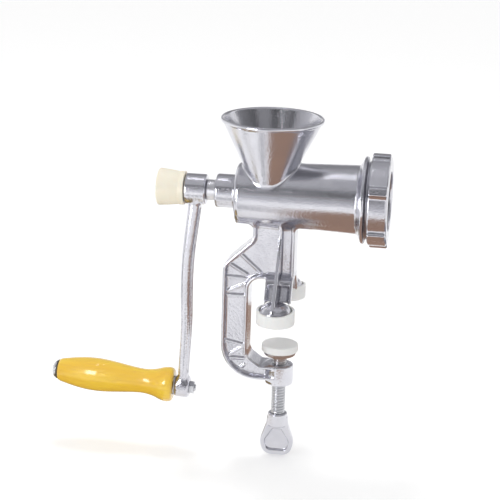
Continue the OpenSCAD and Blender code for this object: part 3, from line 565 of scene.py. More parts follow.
# %% A lathe
def turn(name, points, body, nodes, slot, origin, axis, sides=96, loop=False, shape=None):
    """Turns (station, radius) points in millimetres about an axis; a loop makes a bored piece."""
    axis = Vector(axis).normalized()
    across = axis.orthogonal().normalized() if abs(axis.x) < 0.9 else Vector((0, 1, 0))
    across = (across - axis * across.dot(axis)).normalized()
    third = axis.cross(across)
    made, rings = bmesh.new(), []
    for station, radius in points:
        middle = Vector(origin) + axis * station
        if radius < 1e-6:
            rings.append([made.verts.new(middle * MM)])
            continue
        ring = []
        for k in range(sides):
            angle = 2 * math.pi * k / sides
            r = shape(station, angle, radius) if shape else radius
            out = across * (r * math.cos(angle)) + third * (r * math.sin(angle))
            ring.append(made.verts.new((middle + out) * MM))
        rings.append(ring)
    for a, b in zip(rings, rings[1:] + (rings[:1] if loop else [])):
        for k in range(sides):
            corners = [a[k % len(a)], a[(k + 1) % len(a)], b[(k + 1) % len(b)], b[k % len(b)]]
            corners = [c for i, c in enumerate(corners) if c is not corners[i - 1]]
            if len(corners) > 2:
                made.faces.new(corners)
    bmesh.ops.recalc_face_normals(made, faces=made.faces)
    mesh = bpy.data.meshes.new(name)
    made.to_mesh(mesh)
    made.free()
    mesh.shade_smooth()
    piece = place(name, mesh, body, nodes, slot)
    piece.modifiers.new("flat faces lead", "WEIGHTED_NORMAL").keep_sharp = True


def washer(name, plain, body, slot, start, end, bore, rim, corner, origin, axis):
    """A flat ring between two stations with softened corners, in place of one plain piece."""
    ring = outline([(start, bore, 0.2), (start, rim, corner), (end, rim, corner), (end, bore, 0.2)], 4)
    turn(name, ring, body, [plain], slot, origin, axis, 72, loop=True)


def screw_thread(crest, depth, pitch, start, end):
    """A shape for turn(): a thread between two stations that runs out at both ends."""
    def shape(station, angle, radius):
        if not start < station < end:
            return radius
        fade = min((station - start) / pitch, (end - station) / pitch, 1)
        return crest - depth * fade * float(thread_groove(station / pitch, angle))
    return shape


# Origin and direction of the two axes that most pieces are turned about.
WORM_LINE = (0, 0, AXIS_Z), (1, 0, 0)
SCREW_LINE = (0, 0, 0), (0, 0, 1)

# %% [markdown]
# ## The grip
# The grip is beech on a lathe: a flared collar by the arm, a waist for the thumb, a long belly.
# Its radii are read every few millimetres, and a Catmull-Rom curve runs smoothly through them.

# %% Grip, bolt and washers
GRIP_START = 7.75                       # from the foot's centre, along the handle
grip_knots = [(0, 11.4), (0.5, 13.0), (2.2, 14.5), (5.8, 14.9), (10.4, 14.0), (14.9, 12.4), (19.4, 11.2),
              (25.8, 10.45), (33, 10.75), (42.1, 11.8), (51.2, 12.9), (60.2, 13.85), (69.3, 14.2),
              (78.3, 13.7), (87.4, 12.4), (94.5, 10.95), (99.2, 9.9), (101.2, 9.0), (101.7, 8.3)]


def through(knots, count):
    """Points of a Catmull-Rom curve through the knots."""
    p = np.array([knots[0], *knots, knots[-1]], float)
    out = []
    for i in range(1, len(p) - 2):
        for t in np.linspace(0, 1, count, endpoint=False):
            out.append(0.5 * (2 * p[i] + (p[i + 1] - p[i - 1]) * t
                              + (2 * p[i - 1] - 5 * p[i] + 4 * p[i + 1] - p[i + 2]) * t * t
                              + (3 * p[i] - p[i - 1] - 3 * p[i + 1] + p[i + 2]) * t ** 3))
    return [tuple(q) for q in out] + [tuple(p[-1])]


grip_curve = [(GRIP_START + s, r) for s, r in through(grip_knots, 6)]
grip_end = grip_curve[-1][0]
grip_loop = [(GRIP_START, 3.06), (GRIP_START, 8.0)] + grip_curve + [(grip_end, 6.0), (grip_end, 3.06)]
turn("handle_grip_wood", grip_loop, "grip", ["handle_grip"], "yellow_wood", FOOT, HANDLE, 128, loop=True)
head = grip_end + 1.5                   # the bolt's head sits on the outer washer
dome = [(head + 4.2 * math.sin(math.radians(a)), 7.5 * math.cos(math.radians(a))) for a in range(6, 91, 6)]
shank = [(-11.65, 0), (-11.65, 2.4), (-11.1, 3.0), (head, 3.0), (head, 7.0), (head + 0.15, 7.4)]
turn("handle_bolt_turned", shank + dome, "crank", ["handle_bolt"], "steel", FOOT, HANDLE, 72)
for name, plain, start, slot in (("outer_grip_washer", "outer_washer", head - 1.2, "dark_washer"),
                                 ("inner_grip_washer", "inner_washer", GRIP_START - 1.5, "steel")):
    washer(name, plain, "crank", slot, start, start + 1.19, BOLT_HOLE, 8.2, 0.35, FOOT, HANDLE)
print("grip runs from", GRIP_START, "to", grip_end, "mm along the handle")

# %% [markdown]
# The bolt's nut is small but shows its chamfered corners, so it gets a fine clay of its own:
# three pairs of flats, cut at each end by a cone.

# %% Nut behind the arm
def hexagon(across, side, half):
    best = np.abs(across) - half
    for angle in (60, 120):
        c, s = math.cos(math.radians(angle)), math.sin(math.radians(angle))
        best = np.maximum(best, np.abs(across * c + side * s) - half)
    return best


def nut(x, y, z):
    along, across, away = off_handle(x, y, z)
    end = np.abs(along + 8.25)
    body = np.maximum(hexagon(y, across, 5.0), end - 2.0)
    chamfer = (away - 5.5 + 1.7 * (end - 1.9)) * 0.5
    return np.maximum(np.maximum(body, chamfer), BOLT_HOLE - away)


carve(nut, (-78, -6, -84), (-72, 6, -71), 0.2,
      "handle_bolt_nut", "crank", ["handle_nut"], "steel", 12000, relax=1)

# %% [markdown]
# ## The knob
# A cream plastic knob screws into the worm's shaft and holds the crank on. It tapers towards the
# arm, with a shallow hollow and a thin collar. Its steel stud carries a real fine thread, which
# only shows once the knob is unscrewed.

# %% Knob, stud and washer
KNOB_PITCH, STUD_R = 1.25, 4.0
knob_outline = outline([(-106.5, 0, 0), (-106.5, 15.7, 1.8), (-97, 14.85, 20), (-88.4, 13.75, 2.5),
                        (-87.2, 14.1, 0.5), (-83.8, 14.1, 0.7), (-83.8, 11.0, 0.3), (-85.6, 11.0, 0.2),
                        (-85.6, 0, 0)])
turn("crank_knob_moulded", knob_outline, "crank_knob", ["knob"], "cream_plastic", *WORM_LINE, 128)
stud_points = [(-101.4, 0), (-101.4, 3.3), (-100.8, 4)] + [(s, STUD_R) for s in np.arange(-100, -71, 0.16)]
stud_points += [(-70.2, 3.4), (-69.5, 2.9), (-69.5, 0)]
turn("knob_stud_threaded", stud_points, "crank_knob", ["knob_stud"], "steel", *WORM_LINE, 48,
     shape=screw_thread(STUD_R, 0.6, KNOB_PITCH, -88, -70.6))
washer("knob_washer_turned", "knob_washer", "knob_carrier", "steel", -85.3, -83.8, 4.3, 10.6, 0.4,
       *WORM_LINE)

# %% [markdown]
# ## The clamp screw and its pad
# The screw climbs through the boss with a coarse thread. Its ball end turns inside the pad, so
# the pad can stay still against the table while the wing goes round.

# %% Screw, pad and pad cap
SCREW_R = 6.0
tang = [(-102, 0), (-102, 4.2), (-101.4, 4.8), (-92.6, 4.8), (-92.5, 5.1)]
threaded = [(s, SCREW_R) for s in np.arange(-92.2, -42, 0.2)]
neck_and_end = [(-41.7, 5.1), (-40.7, 3.6), (-36.4, 3.6), (-36.4, 4.6), (-36.0, 5.0), (-33.9, 5.0),
                (-33.4, 4.5), (-33.4, 0)]
turn("clamp_screw_threaded", tang + threaded + neck_and_end, "screw", ["clamp_screw"], "steel",
     *SCREW_LINE, 72, shape=screw_thread(SCREW_R, 0.95, PITCH, -92, -42.2))
pad_outline = outline([(-33.1, 0, 0), (-33.1, 5.3, 0.2), (-36.7, 5.3, 0.2), (-36.7, 3.9, 0.2),
                       (-39.7, 3.9, 0.3), (-39.7, 13.4, 1.2), (-32.2, 13.4, 0.4), (-32.2, 0, 0)], 5)
turn("clamp_pad_turned", pad_outline, "pad", ["clamp_pad"], "steel", *SCREW_LINE)
pad_cap_outline = outline([(-32.2, 0, 0), (-32.2, 13.44, 0.3), (-36.2, 13.44, 0.3), (-36.2, 15.4, 0.8),
                           (-30, 15.4, 1.4), (-30, 0, 0)], 5)
turn("clamp_pad_cap", pad_cap_outline, "pad", ["pad_cap"], "white_plastic", *SCREW_LINE)

# %% [markdown]
# ## Inside the barrel
# The worm is hidden, but it shows down the funnel and when the nut comes off. Its flight is a
# ridge that winds backwards round a core: turning the crank clockwise drives the meat forwards.
# The ridge is thick at its root and thinner at its crest, with the casting's fillet between.

# %% Worm with its shaft
WORM_START, WORM_END, LEAD, CORE_R = -29.2, 67.1, 27.0, 9.5
CREST_R, CREST_GAIN = 21.09, 0.03665            # at the start, and per millimetre from there
ROOT_HALF, THINNING, THINS_OVER = 4.5, 1.95, 12     # the ridge's half width, what it loses, and how far out
KNIFE_SQUARE = 4.79                             # half the width of the square in the knife and the shaft
worm_shaft_outline = outline([(-65.5, 0, 0), (-65.5, 8.5, 0.5), (-32.2, 8.5, 0), (-32.2, 17.5, 0.8),
                              (-29.0, 17.5, 0.8), (-29.0, 9.0, 0), (71.3, 9.0, 0.6), (71.3, 0, 0)])


def worm(x, y, z):
    away = about_x(y, z)
    turn_by = np.arctan2(y, AXIS_Z - z) / (2 * np.pi) + (x - WORM_START) / LEAD
    off = np.abs((turn_by + 0.5) % 1.0 - 0.5) * LEAD
    crest = CREST_R + (x - WORM_START) * CREST_GAIN
    thick = ROOT_HALF - THINNING * (away - CORE_R) / THINS_OVER
    flight = round_common(away - crest, (off - thick) * 0.93, 0.8)
    return np.maximum(round_join(flight, away - CORE_R, 2.5), slab(x, WORM_START, WORM_END))


def drive(x, y, z):
    """The bar that drives the crank, with its edges rounded until it is nearly a rod."""
    bar = round_common(np.abs(y), np.abs(z - AXIS_Z), 0.8) - 5.5
    return np.maximum(bar, slab(x, -83, -64))


worm_clay = Clay((-83, -25, 75), (72, 25, 125), 0.6)
worm_clay.add(worm, (-30, -25, 75), (68, 25, 125), 0)
worm_clay.add(lathe_x(worm_shaft_outline), (-66, -18, 82), (72, 18, 118), 0.8)
worm_clay.add(drive, (-83, -8, 92), (-64, 8, 108), 0.3)
worm_clay.cut(rod_x(4.04, -85, -67), (-85, -7, 93), (-67, 7, 107), 0.3)
worm_clay.cut(square_x(KNIFE_SQUARE, 57.3, 73), (57, -7, 93), (73, 7, 107), 0.3)
fire(worm_clay, "feed_worm", "crank", ["auger"], "auger_aluminium", 110000)
washer("worm_thrust_washer", "thrust_washer", "crank", "white_plastic", -34.2, -32.22, 8.54, 17, 0.4,
       *WORM_LINE)

# %% [markdown]
# The knife and the plate are ground flat against each other. Fine clay keeps their edges nearly
# sharp. The plate's holes are one flat pattern, cut straight through with a tiny countersink.

# %% Knife, its stud, the plate and its key
blade_outline = outline([(0, -4, 0), (19, -2.75, 0), (20.6, 0, 0), (20, 2.75, 0), (11.8, 2.6, 2), (0, 4, 0)])
PLATE_HOLES = [(r * math.sin(2 * math.pi * k / n), -r * math.cos(2 * math.pi * k / n))
               for r, n in ((10.0, 8), (15.6, 14), (21.4, 20)) for k in range(n)]
HOLE_R = 2.5


def knife(x, y, z):
    up = z - AXIS_Z
    flat = about_x(y, z) - 9.8
    for degrees in (45, 135, 225, 315):
        c, s = math.cos(math.radians(degrees)), math.sin(math.radians(degrees))
        flat = round_join(flat, off_outline(blade_outline, -up * c + y * s, up * s + y * c), 1.2)
    flat = np.maximum(flat, KNIFE_SQUARE - square_off(y, z))
    return round_common(np.broadcast_to(flat, np.broadcast(flat, x).shape), slab(x, 71.3, 75.9), 0.3)


carve(knife, (71, -22, 78), (76, 22, 122), 0.35,
      "cross_knife", "crank", ["knife"], "knife_steel", 40000, relax=1)


def knife_stud(x, y, z):
    """A bar in the knife, rounded like the worm's drive, and a pilot that centres the plate."""
    bar = np.maximum(round_common(np.abs(y), np.abs(z - AXIS_Z), 0.6) - 4.75, slab(x, 57.3, 75.9))
    pilot = round_common(about_x(y, z) - 5.0, slab(x, 75.8, 83.2), 0.6)
    return np.minimum(bar, pilot)


carve(knife_stud, (57, -7, 93), (83.4, 7, 107), 0.3,
      "knife_stud_milled", "crank", ["knife_stud"], "steel", 16000, relax=1)


def plate(x, y, z):
    up = z - AXIS_Z
    disc = round_common(about_x(y, z) - 27.0 + 0 * x, slab(x, 76.2, 83.18), 0.5)
    holes = np.maximum(5.06 - about_x(y, z), np.minimum(up - 25.4, 2.3 - np.abs(y)))    # centre and key slot
    for hole_y, hole_up in PLATE_HOLES:
        holes = np.maximum(holes, HOLE_R - about_z(y - hole_y, up - hole_up))
    return round_common(disc, holes + 0 * x, 0.3)


carve(plate, (76, -27, 73), (83.4, 27, 127), 0.4,
      "hole_plate", "plate", ["grinding_plate"], "knife_steel", 80000, relax=1)
key = [(74.9, 0), (74.9, 1.7), (75.2, 2), (79.0, 2), (79.3, 1.7), (79.3, 0)]
turn("plate_key", key, "casting", ["plate_key_pin"], "steel", (0, 0, AXIS_Z + 27.7), (1, 0, 0), 32)

# %% [markdown]
# ## Finishes
# Several finishes share the same effects: bare edges that catch the light, a fine tumbled skin,
# and a little painted shade in the corners. Each effect is a node group, built once and placed in every
# material with its own values, so that the worn edges and the skin look as if they aged together.

# %% Helpers for node groups
def feed(tree, target, inputs):
    """Links a node's inputs to other nodes' outputs, or sets them to plain values."""
    for key, value in inputs.items():
        if isinstance(value, bpy.types.NodeSocket):
            tree.links.new(value, target.inputs[key])
        else:
            target.inputs[key].default_value = value


def node(tree, kind, inputs=None, **settings):
    """Adds a node, sets its properties and feeds its inputs."""
    made = tree.nodes.new(kind)
    for key, value in settings.items():
        setattr(made, key, value)
    feed(tree, made, inputs or {})
    return made


def new_group(name, inputs, outputs):
    """A node group with number sockets; returns it, its inputs as seen inside, and its output node."""
    group = bpy.data.node_groups.new(name, "ShaderNodeTree")
    for socket, value in inputs.items():
        made = group.interface.new_socket(socket, in_out="INPUT", socket_type="NodeSocketFloat")
        made.default_value = value
    for socket in outputs:
        group.interface.new_socket(socket, in_out="OUTPUT", socket_type="NodeSocketFloat")
    return group, group.nodes.new("NodeGroupInput").outputs, group.nodes.new("NodeGroupOutput")


def use(tree, group, **values):
    """Places a node group and returns its outputs; underscores stand for spaces in its sockets' names."""
    made = node(tree, "ShaderNodeGroup", node_tree=group)
    feed(tree, made, {key.replace("_", " "): value for key, value in values.items()})
    return made.outputs


def ramp(tree, value, start, end):
    """A grey ramp from one (position, grey) to another."""
    made = node(tree, "ShaderNodeValToRGB", {"Fac": value})
    for element, (position, grey) in zip(made.color_ramp.elements, (start, end)):
        element.position, element.color = position, (grey, grey, grey, 1)
    return made.outputs["Color"]


def math_node(tree, operation, *values):
    return node(tree, "ShaderNodeMath", dict(enumerate(values)), operation=operation).outputs[0]


def noise(tree, vector, scale, detail, **more):
    """A noise texture's grey value; more of its inputs may be given by name."""
    inputs = {"Vector": vector, "Scale": scale, "Detail": detail, **more}
    return node(tree, "ShaderNodeTexNoise", inputs).outputs["Fac"]


def mix(tree, kind, factor, a, b):
    return node(tree, "ShaderNodeMix", {"Factor": factor, "A": a, "B": b}, data_type=kind).outputs["Result"]


def tint(tree, tone, mask, share, colour):
    """Mixes up to a share of another colour into a tone where the mask is bright."""
    return mix(tree, "RGBA", math_node(tree, "MULTIPLY", mask, share), tone, (*colour, 1))


def bump(tree, shader, height, strength, distance, **more):
    """Lets a shader's normal follow a height."""
    inputs = {"Height": height, "Strength": strength, "Distance": distance, **more}
    made = node(tree, "ShaderNodeBump", inputs)
    tree.links.new(made.outputs["Normal"], shader.inputs["Normal"])
    return made


def new_material(name):
    made = bpy.data.materials.new(name)
    made.use_nodes = True
    return made, made.node_tree, made.node_tree.nodes["Principled BSDF"]

# %% [markdown]
# A tumbled casting isn't a mirror. Stones in the tumbler leave the surface gently uneven at about
# the size of a lentil, with a fine sandy grain on top. The unevenness bends reflections, and the
# grain spreads them.

# %% Tumbled skin
skin_group, skin_in, skin_out = new_group(
    "Tumbled skin",
    {"Dimple size": 0.004, "Dimple depth": 1.0, "Grain depth": 0.2, "Smooth": 0.2, "Coarse": 0.35},
    ["Height", "Roughness", "Tone"])
spot = node(skin_group, "ShaderNodeTexCoord").outputs["Object"]
per_metre = math_node(skin_group, "DIVIDE", 1.0, skin_in["Dimple size"])
dimples = noise(skin_group, spot, per_metre, 1.5, Roughness=0.4)
grain = noise(skin_group, spot, math_node(skin_group, "MULTIPLY", per_metre, 9.0), 3.0, Roughness=0.6)
patches = noise(skin_group, spot, 38.0, 4.0, Roughness=0.65)
dimple_height = math_node(skin_group, "MULTIPLY", dimples, skin_in["Dimple depth"])
grain_height = math_node(skin_group, "MULTIPLY", grain, skin_in["Grain depth"])
worn = ramp(skin_group, patches, (0.35, 0.0), (0.68, 1.0))
feed(skin_group, skin_out, {
    "Height": math_node(skin_group, "ADD", dimple_height, grain_height),
    "Roughness": mix(skin_group, "FLOAT", worn, skin_in["Smooth"], skin_in["Coarse"]),
    "Tone": worn})

# %% [markdown]
# Edges are rubbed bright, and corners get a little painted shade. The Bevel node gives the normal
# as it would be on a rounder edge: where it differs from the true one, there is an edge. Ambient
# Occlusion finds the corners in the same way, and the shade is painted there.

# %% Bright edges and painted corner shade
edge_and_shade_group, edge_in, edge_out = new_group(
    "Worn edges and corner shade", {"Width": 0.0008, "Reach": 0.006}, ["Edge", "Corner shade"])
bevel = node(edge_and_shade_group, "ShaderNodeBevel", {"Radius": edge_in["Width"]}, samples=4)
true_normal = node(edge_and_shade_group, "ShaderNodeNewGeometry").outputs["Normal"]
along = node(edge_and_shade_group, "ShaderNodeVectorMath", {0: bevel.outputs["Normal"], 1: true_normal},
             operation="DOT_PRODUCT")
bend = math_node(edge_and_shade_group, "SUBTRACT", 1.0, along.outputs["Value"])
# The corner mask is for painted shade: it is bright where ambient occlusion finds a nearby surface.
nook = node(edge_and_shade_group, "ShaderNodeAmbientOcclusion", {"Distance": edge_in["Reach"]}, samples=6)
feed(edge_and_shade_group, edge_out, {"Edge": ramp(edge_and_shade_group, bend, (0.01, 0.0), (0.12, 1.0)),
                            "Corner shade": ramp(edge_and_shade_group, nook.outputs["AO"], (0.35, 1.0), (0.85, 0.0))})

# %% [markdown]
# ## Metals
# The cast aluminium is bright, and brightest on its worn edges. The worm is the same metal with
# the duller skin it came from the mould with. The screws are zinc plated and the knife is ground
# steel, whose fine parallel scratches come from a noise stretched along one direction.

# %% Cast aluminium, plated and ground steel
finishes = {}
EDGE_GREY = (0.93, 0.93, 0.94)


def metal(name, light, dark, corner_shade_grey, dimple, depth, smooth, coarse, unevenness):
    """Dimple and unevenness are lengths in metres, smooth and coarse the least and most roughness."""
    finishes[name], tree, shader = new_material(name)
    skin = use(tree, skin_group, Dimple_size=dimple, Dimple_depth=depth, Grain_depth=0.16,
               Smooth=smooth, Coarse=coarse)
    wear_and_shade = use(tree, edge_and_shade_group, Width=0.0007, Reach=0.005)
    tone = mix(tree, "RGBA", skin["Tone"], (*light, 1), (*dark, 1))
    # Painted shade: the corner grey is mixed into the tone where ambient occlusion finds a corner.
    tone = tint(tree, tone, wear_and_shade["Corner shade"], 0.22, corner_shade_grey)
    tone = tint(tree, tone, wear_and_shade["Edge"], 0.6, EDGE_GREY)
    rough = math_node(tree, "MULTIPLY_ADD", wear_and_shade["Corner shade"], 0.12, skin["Roughness"])
    feed(tree, shader, {"Base Color": tone, "Roughness": rough, "Metallic": 1.0})
    return tree, shader, bump(tree, shader, skin["Height"], 1.0, unevenness).outputs["Normal"]


# The third colour of each metal is the grey of its painted corner shade.
metal("cast_aluminium", (0.72, 0.72, 0.765), (0.64, 0.64, 0.69), (0.36, 0.36, 0.39),
      dimple=0.0016, depth=1.0, smooth=0.14, coarse=0.22, unevenness=0.00013)
metal("auger_aluminium", (0.80, 0.80, 0.83), (0.72, 0.72, 0.75), (0.42, 0.42, 0.44),
      dimple=0.0022, depth=0.8, smooth=0.24, coarse=0.36, unevenness=0.0001)
metal("steel", (0.70, 0.71, 0.74), (0.60, 0.61, 0.64), (0.28, 0.27, 0.26),
      dimple=0.0016, depth=0.4, smooth=0.20, coarse=0.33, unevenness=0.00004)
tree, shader, uneven = metal("knife_steel", (0.62, 0.63, 0.65), (0.52, 0.53, 0.55), (0.22, 0.21, 0.20),
                             dimple=0.003, depth=0.3, smooth=0.18, coarse=0.30, unevenness=0.00004)
coord = node(tree, "ShaderNodeTexCoord").outputs["Object"]
streaks = node(tree, "ShaderNodeMapping", {"Vector": coord, "Scale": (400.0, 3200.0, 130.0)})
bump(tree, shader, noise(tree, streaks.outputs["Vector"], 1.0, 2.0), 0.5, 0.00003, Normal=uneven)

# %% [markdown]
# ## Plastics
# Moulded plastic has a satin skin with faint flow marks. Light goes a little way into both the
# cream knob and the white caps before it comes back, so a touch of subsurface keeps them from
# looking like painted metal.

# %% Cream knob, white caps, dark washer
plastic_group, plastic_in, plastic_out = new_group(
    "Moulded skin", {"Speck size": 0.0012, "Flow size": 0.02}, ["Height", "Flow"])
spot = node(plastic_group, "ShaderNodeTexCoord").outputs["Object"]
specks = math_node(plastic_group, "DIVIDE", 1.0, plastic_in["Speck size"])
flows = math_node(plastic_group, "DIVIDE", 1.0, plastic_in["Flow size"])
flow = noise(plastic_group, spot, flows, 2.0, Distortion=0.6)
feed(plastic_group, plastic_out, {"Height": noise(plastic_group, spot, specks, 2.0),
                                  "Flow": ramp(plastic_group, flow, (0.3, 0.0), (0.7, 1.0))})


def plastic(name, colour, shade, roughness, depth, subsurface):
    finishes[name], tree, shader = new_material(name)
    skin = use(tree, plastic_group)
    wear_and_shade = use(tree, edge_and_shade_group, Width=0.0006, Reach=0.006)
    tone = mix(tree, "RGBA", skin["Flow"], (*colour, 1), (*shade, 1))
    # Painted shade: the second colour, darkened, goes into the corners that ambient occlusion finds.
    tone = tint(tree, tone, wear_and_shade["Corner shade"], 0.4, (0.72 * c for c in shade))
    feed(tree, shader, {
        "Base Color": tone, "Roughness": mix(tree, "FLOAT", skin["Flow"], roughness, roughness + 0.1),
        "Subsurface Weight": subsurface, "Subsurface Radius": (1.0, 0.8, 0.6), "Subsurface Scale": 0.003})
    bump(tree, shader, skin["Height"], 0.6, depth)


plastic("cream_plastic", (0.97, 0.90, 0.76), (0.94, 0.85, 0.68),
        roughness=0.30, depth=0.00004, subsurface=0.25)
plastic("white_plastic", (0.93, 0.93, 0.92), (0.89, 0.89, 0.88),
        roughness=0.38, depth=0.00004, subsurface=0.15)
plastic("dark_washer", (0.07, 0.06, 0.055), (0.10, 0.09, 0.08),
        roughness=0.55, depth=0.00008, subsurface=0.0)

# %% [markdown]
# ## Yellow lacquered beech
# The grip's yellow is a stain under clear lacquer, so the beech's flecks still show as slightly
# darker streaks along the handle. The streaks are noise stretched twelve times along the grain.
# The clear coat on top gives the sharp highlight, while the wood below stays soft.

# %% Grip wood
grain_group, grain_in, grain_out = new_group(
    "Beech flecks", {"Fleck length": 0.03, "Stretch": 12.0}, ["Fleck", "Ring"])
spot = node(grain_group, "ShaderNodeTexCoord").outputs["Object"]
lie = node(grain_group, "ShaderNodeMapping", {"Vector": spot, "Rotation": (0, -HANDLE_TILT, 0)})
cross = math_node(grain_group, "DIVIDE", grain_in["Stretch"], grain_in["Fleck length"])
lengthwise = math_node(grain_group, "DIVIDE", 1.0, grain_in["Fleck length"])
scales = node(grain_group, "ShaderNodeCombineXYZ", {"X": lengthwise, "Y": cross, "Z": cross})
laid = node(grain_group, "ShaderNodeVectorMath", {0: lie.outputs["Vector"], 1: scales.outputs["Vector"]},
            operation="MULTIPLY").outputs["Vector"]
flecks = noise(grain_group, laid, 1.0, 3.0, Roughness=0.6)
rings = node(grain_group, "ShaderNodeTexWave",
             {"Vector": laid, "Scale": 0.05, "Distortion": 2.5, "Detail": 2.0}, bands_direction="Y")
feed(grain_group, grain_out, {"Fleck": ramp(grain_group, flecks, (0.45, 0.0), (0.75, 1.0)),
                              "Ring": rings.outputs["Fac"]})

finishes["yellow_wood"], tree, shader = new_material("yellow_wood")
beech = use(tree, grain_group)
wear_and_shade = use(tree, edge_and_shade_group, Width=0.001, Reach=0.004)
stain = mix(tree, "RGBA", beech["Ring"], (0.99, 0.66, 0.04, 1), (0.94, 0.57, 0.03, 1))
stain = tint(tree, stain, beech["Fleck"], 0.35, (0.72, 0.36, 0.03))
# Painted shade: a dark brown goes into the corners that ambient occlusion finds.
stain = tint(tree, stain, wear_and_shade["Corner shade"], 0.5, (0.40, 0.20, 0.04))
rough = math_node(tree, "MULTIPLY_ADD", beech["Fleck"], 0.1, 0.36)
feed(tree, shader, {"Base Color": stain, "Roughness": rough, "Coat Weight": 0.9, "Coat Roughness": 0.07})
bump(tree, shader, beech["Fleck"], 0.3, 0.00006).invert = True

for piece in pieces.values():
    piece.data.materials.clear()
    piece.data.materials.append(finishes[piece["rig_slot"]])
print("finishes:", ", ".join(finishes))

# %% [markdown]
# ## Studio
# A polished thing is a picture of its surroundings, so most of this light is about what the metal
# sees. The room is an even pale dome over a pale floor, whose paper has a faint grain.

# %% Floor and dome
FLOOR_Z, FLOOR_HALF = -0.1335, 9
WHITE = (1, 1, 1, 1)


def new_object(name, points, faces):
    mesh = bpy.data.meshes.new(name)
    mesh.from_pydata(points, [], faces)
    made = bpy.data.objects.new(name, mesh)
    bpy.context.scene.collection.objects.link(made)
    return made


def backdrop_share(tree):
    """1 where a ray comes from the camera, a reflection or a clear body, else 0."""
    rays = node(tree, "ShaderNodeLightPath").outputs
    seen = math_node(tree, "MAXIMUM", rays["Is Camera Ray"], rays["Is Glossy Ray"])
    return math_node(tree, "MAXIMUM", seen, rays["Is Transmission Ray"])


floor_corners = [(FLOOR_HALF * x, FLOOR_HALF * y, FLOOR_Z) for x, y in ((-1, -1), (1, -1), (1, 1), (-1, 1))]
floor = new_object("studio_floor", floor_corners, [(0, 1, 2, 3)])
paper, tree, shader = new_material("floor_paper")
feed(tree, shader, {"Base Color": (0.92, 0.92, 0.92, 1), "Roughness": 0.9, "Emission Color": WHITE,
                    "Emission Strength": math_node(tree, "MULTIPLY", backdrop_share(tree), 0.24)})
fibres = node(tree, "ShaderNodeTexNoise", {"Scale": 300.0, "Detail": 2.0})
bump(tree, shader, fibres.outputs["Fac"], 0.1, 0.0002)
floor.data.materials.append(paper)

world = bpy.data.worlds.new("studio_dome")
bpy.context.scene.world = world
world.use_nodes = True
dome = world.node_tree
level = mix(dome, "FLOAT", backdrop_share(dome), 0.76, 1.0)
feed(dome, dome.nodes["Background"], {"Color": WHITE, "Strength": level})

# %% [markdown]
# The lamps only model the shapes and drop a soft shadow. Reflections don't see them, because a
# small bright source draws a long streak along every tumbled cylinder. One hangs overhead and a
# little behind, the other fills from the front left.

# %% Lamps
def lamp(name, stands_at, target, size, watts):
    light = bpy.data.lights.new(name, "AREA")
    light.size, light.energy = size, watts
    made = bpy.data.objects.new(name, light)
    made.location = stands_at
    made.rotation_euler = (Vector(target) - Vector(stands_at)).to_track_quat("-Z", "Y").to_euler()
    made.visible_glossy = False
    bpy.context.scene.collection.objects.link(made)


lamp("overhead_lamp", (-0.24, 0.40, 1.75), (0, 0, 0.1), size=0.30, watts=6)
lamp("front_fill", (-0.9, -2.2, 1.1), (0, 0, 0.05), size=1.6, watts=9)

# %% [markdown]
# The cards stand outside the picture: studios use them to draw dark lines into chrome, and here
# too only reflections see them. They are painted lighter and darker from corner to corner, as real
# ones fade when they are lit from one side. The front one is darkest above eye level, which draws
# the speckled line along the barrel. Those at the sides darken the funnel's inside, a grey ceiling
# tones the tops of the round parts, and brown ones shade the barrel's belly, as a table would that
# the grinder stands on. A narrow bright one overhead and two small ones in front put the glints on
# the tumbled metal and the grip.

# %% Cards
COOL = 1.04             # how much more blue than red a grey card sends out


def card(name, rows, one_sided=False):
    """A card that only reflections see, in rows of (left corner, right corner, left tone, right tone)."""
    points = [corner for row in rows for corner in row[:2]]
    made = new_object(name, points, [(i, i + 1, i + 3, i + 2) for i in range(0, len(points) - 2, 2)])
    tones = made.data.color_attributes.new("tone", "FLOAT_COLOR", "POINT")
    for i, tone in enumerate(tone for row in rows for tone in row[2:]):
        tones.data[i].color = (*(tone if isinstance(tone, tuple) else (tone, tone, COOL * tone)), 1)
    made.visible_camera = made.visible_diffuse = made.visible_shadow = made.visible_transmission = False
    paint, card_tree, card_shader = new_material(name)
    card_tree.nodes.remove(card_shader)
    tone = node(card_tree, "ShaderNodeVertexColor", layer_name="tone")
    glow = node(card_tree, "ShaderNodeEmission", {"Color": tone.outputs["Color"], "Strength": 1.0})
    light = glow.outputs["Emission"]
    if one_sided:
        behind = node(card_tree, "ShaderNodeNewGeometry").outputs["Backfacing"]
        clear = node(card_tree, "ShaderNodeBsdfTransparent").outputs["BSDF"]
        light = node(card_tree, "ShaderNodeMixShader", {0: behind, 1: light, 2: clear}).outputs["Shader"]
    card_tree.links.new(light, card_tree.nodes["Material Output"].inputs["Surface"])
    made.data.materials.append(paint)


def wall(name, left, right, rows):
    """A standing card over a line from left to right, in rows of (height, left tone, right tone).

    A row with one tone has it on both sides."""
    card(name, [((*left, z), (*right, z), tones[0], tones[-1]) for z, *tones in rows])


def flat_card(name, x0, x1, z, rows, one_sided=False):
    """A lying card in rows of (y, tone). One that is one-sided can't be seen from below."""
    card(name, [((x0, y, z), (x1, y, z), tone, tone) for y, tone in rows], one_sided)


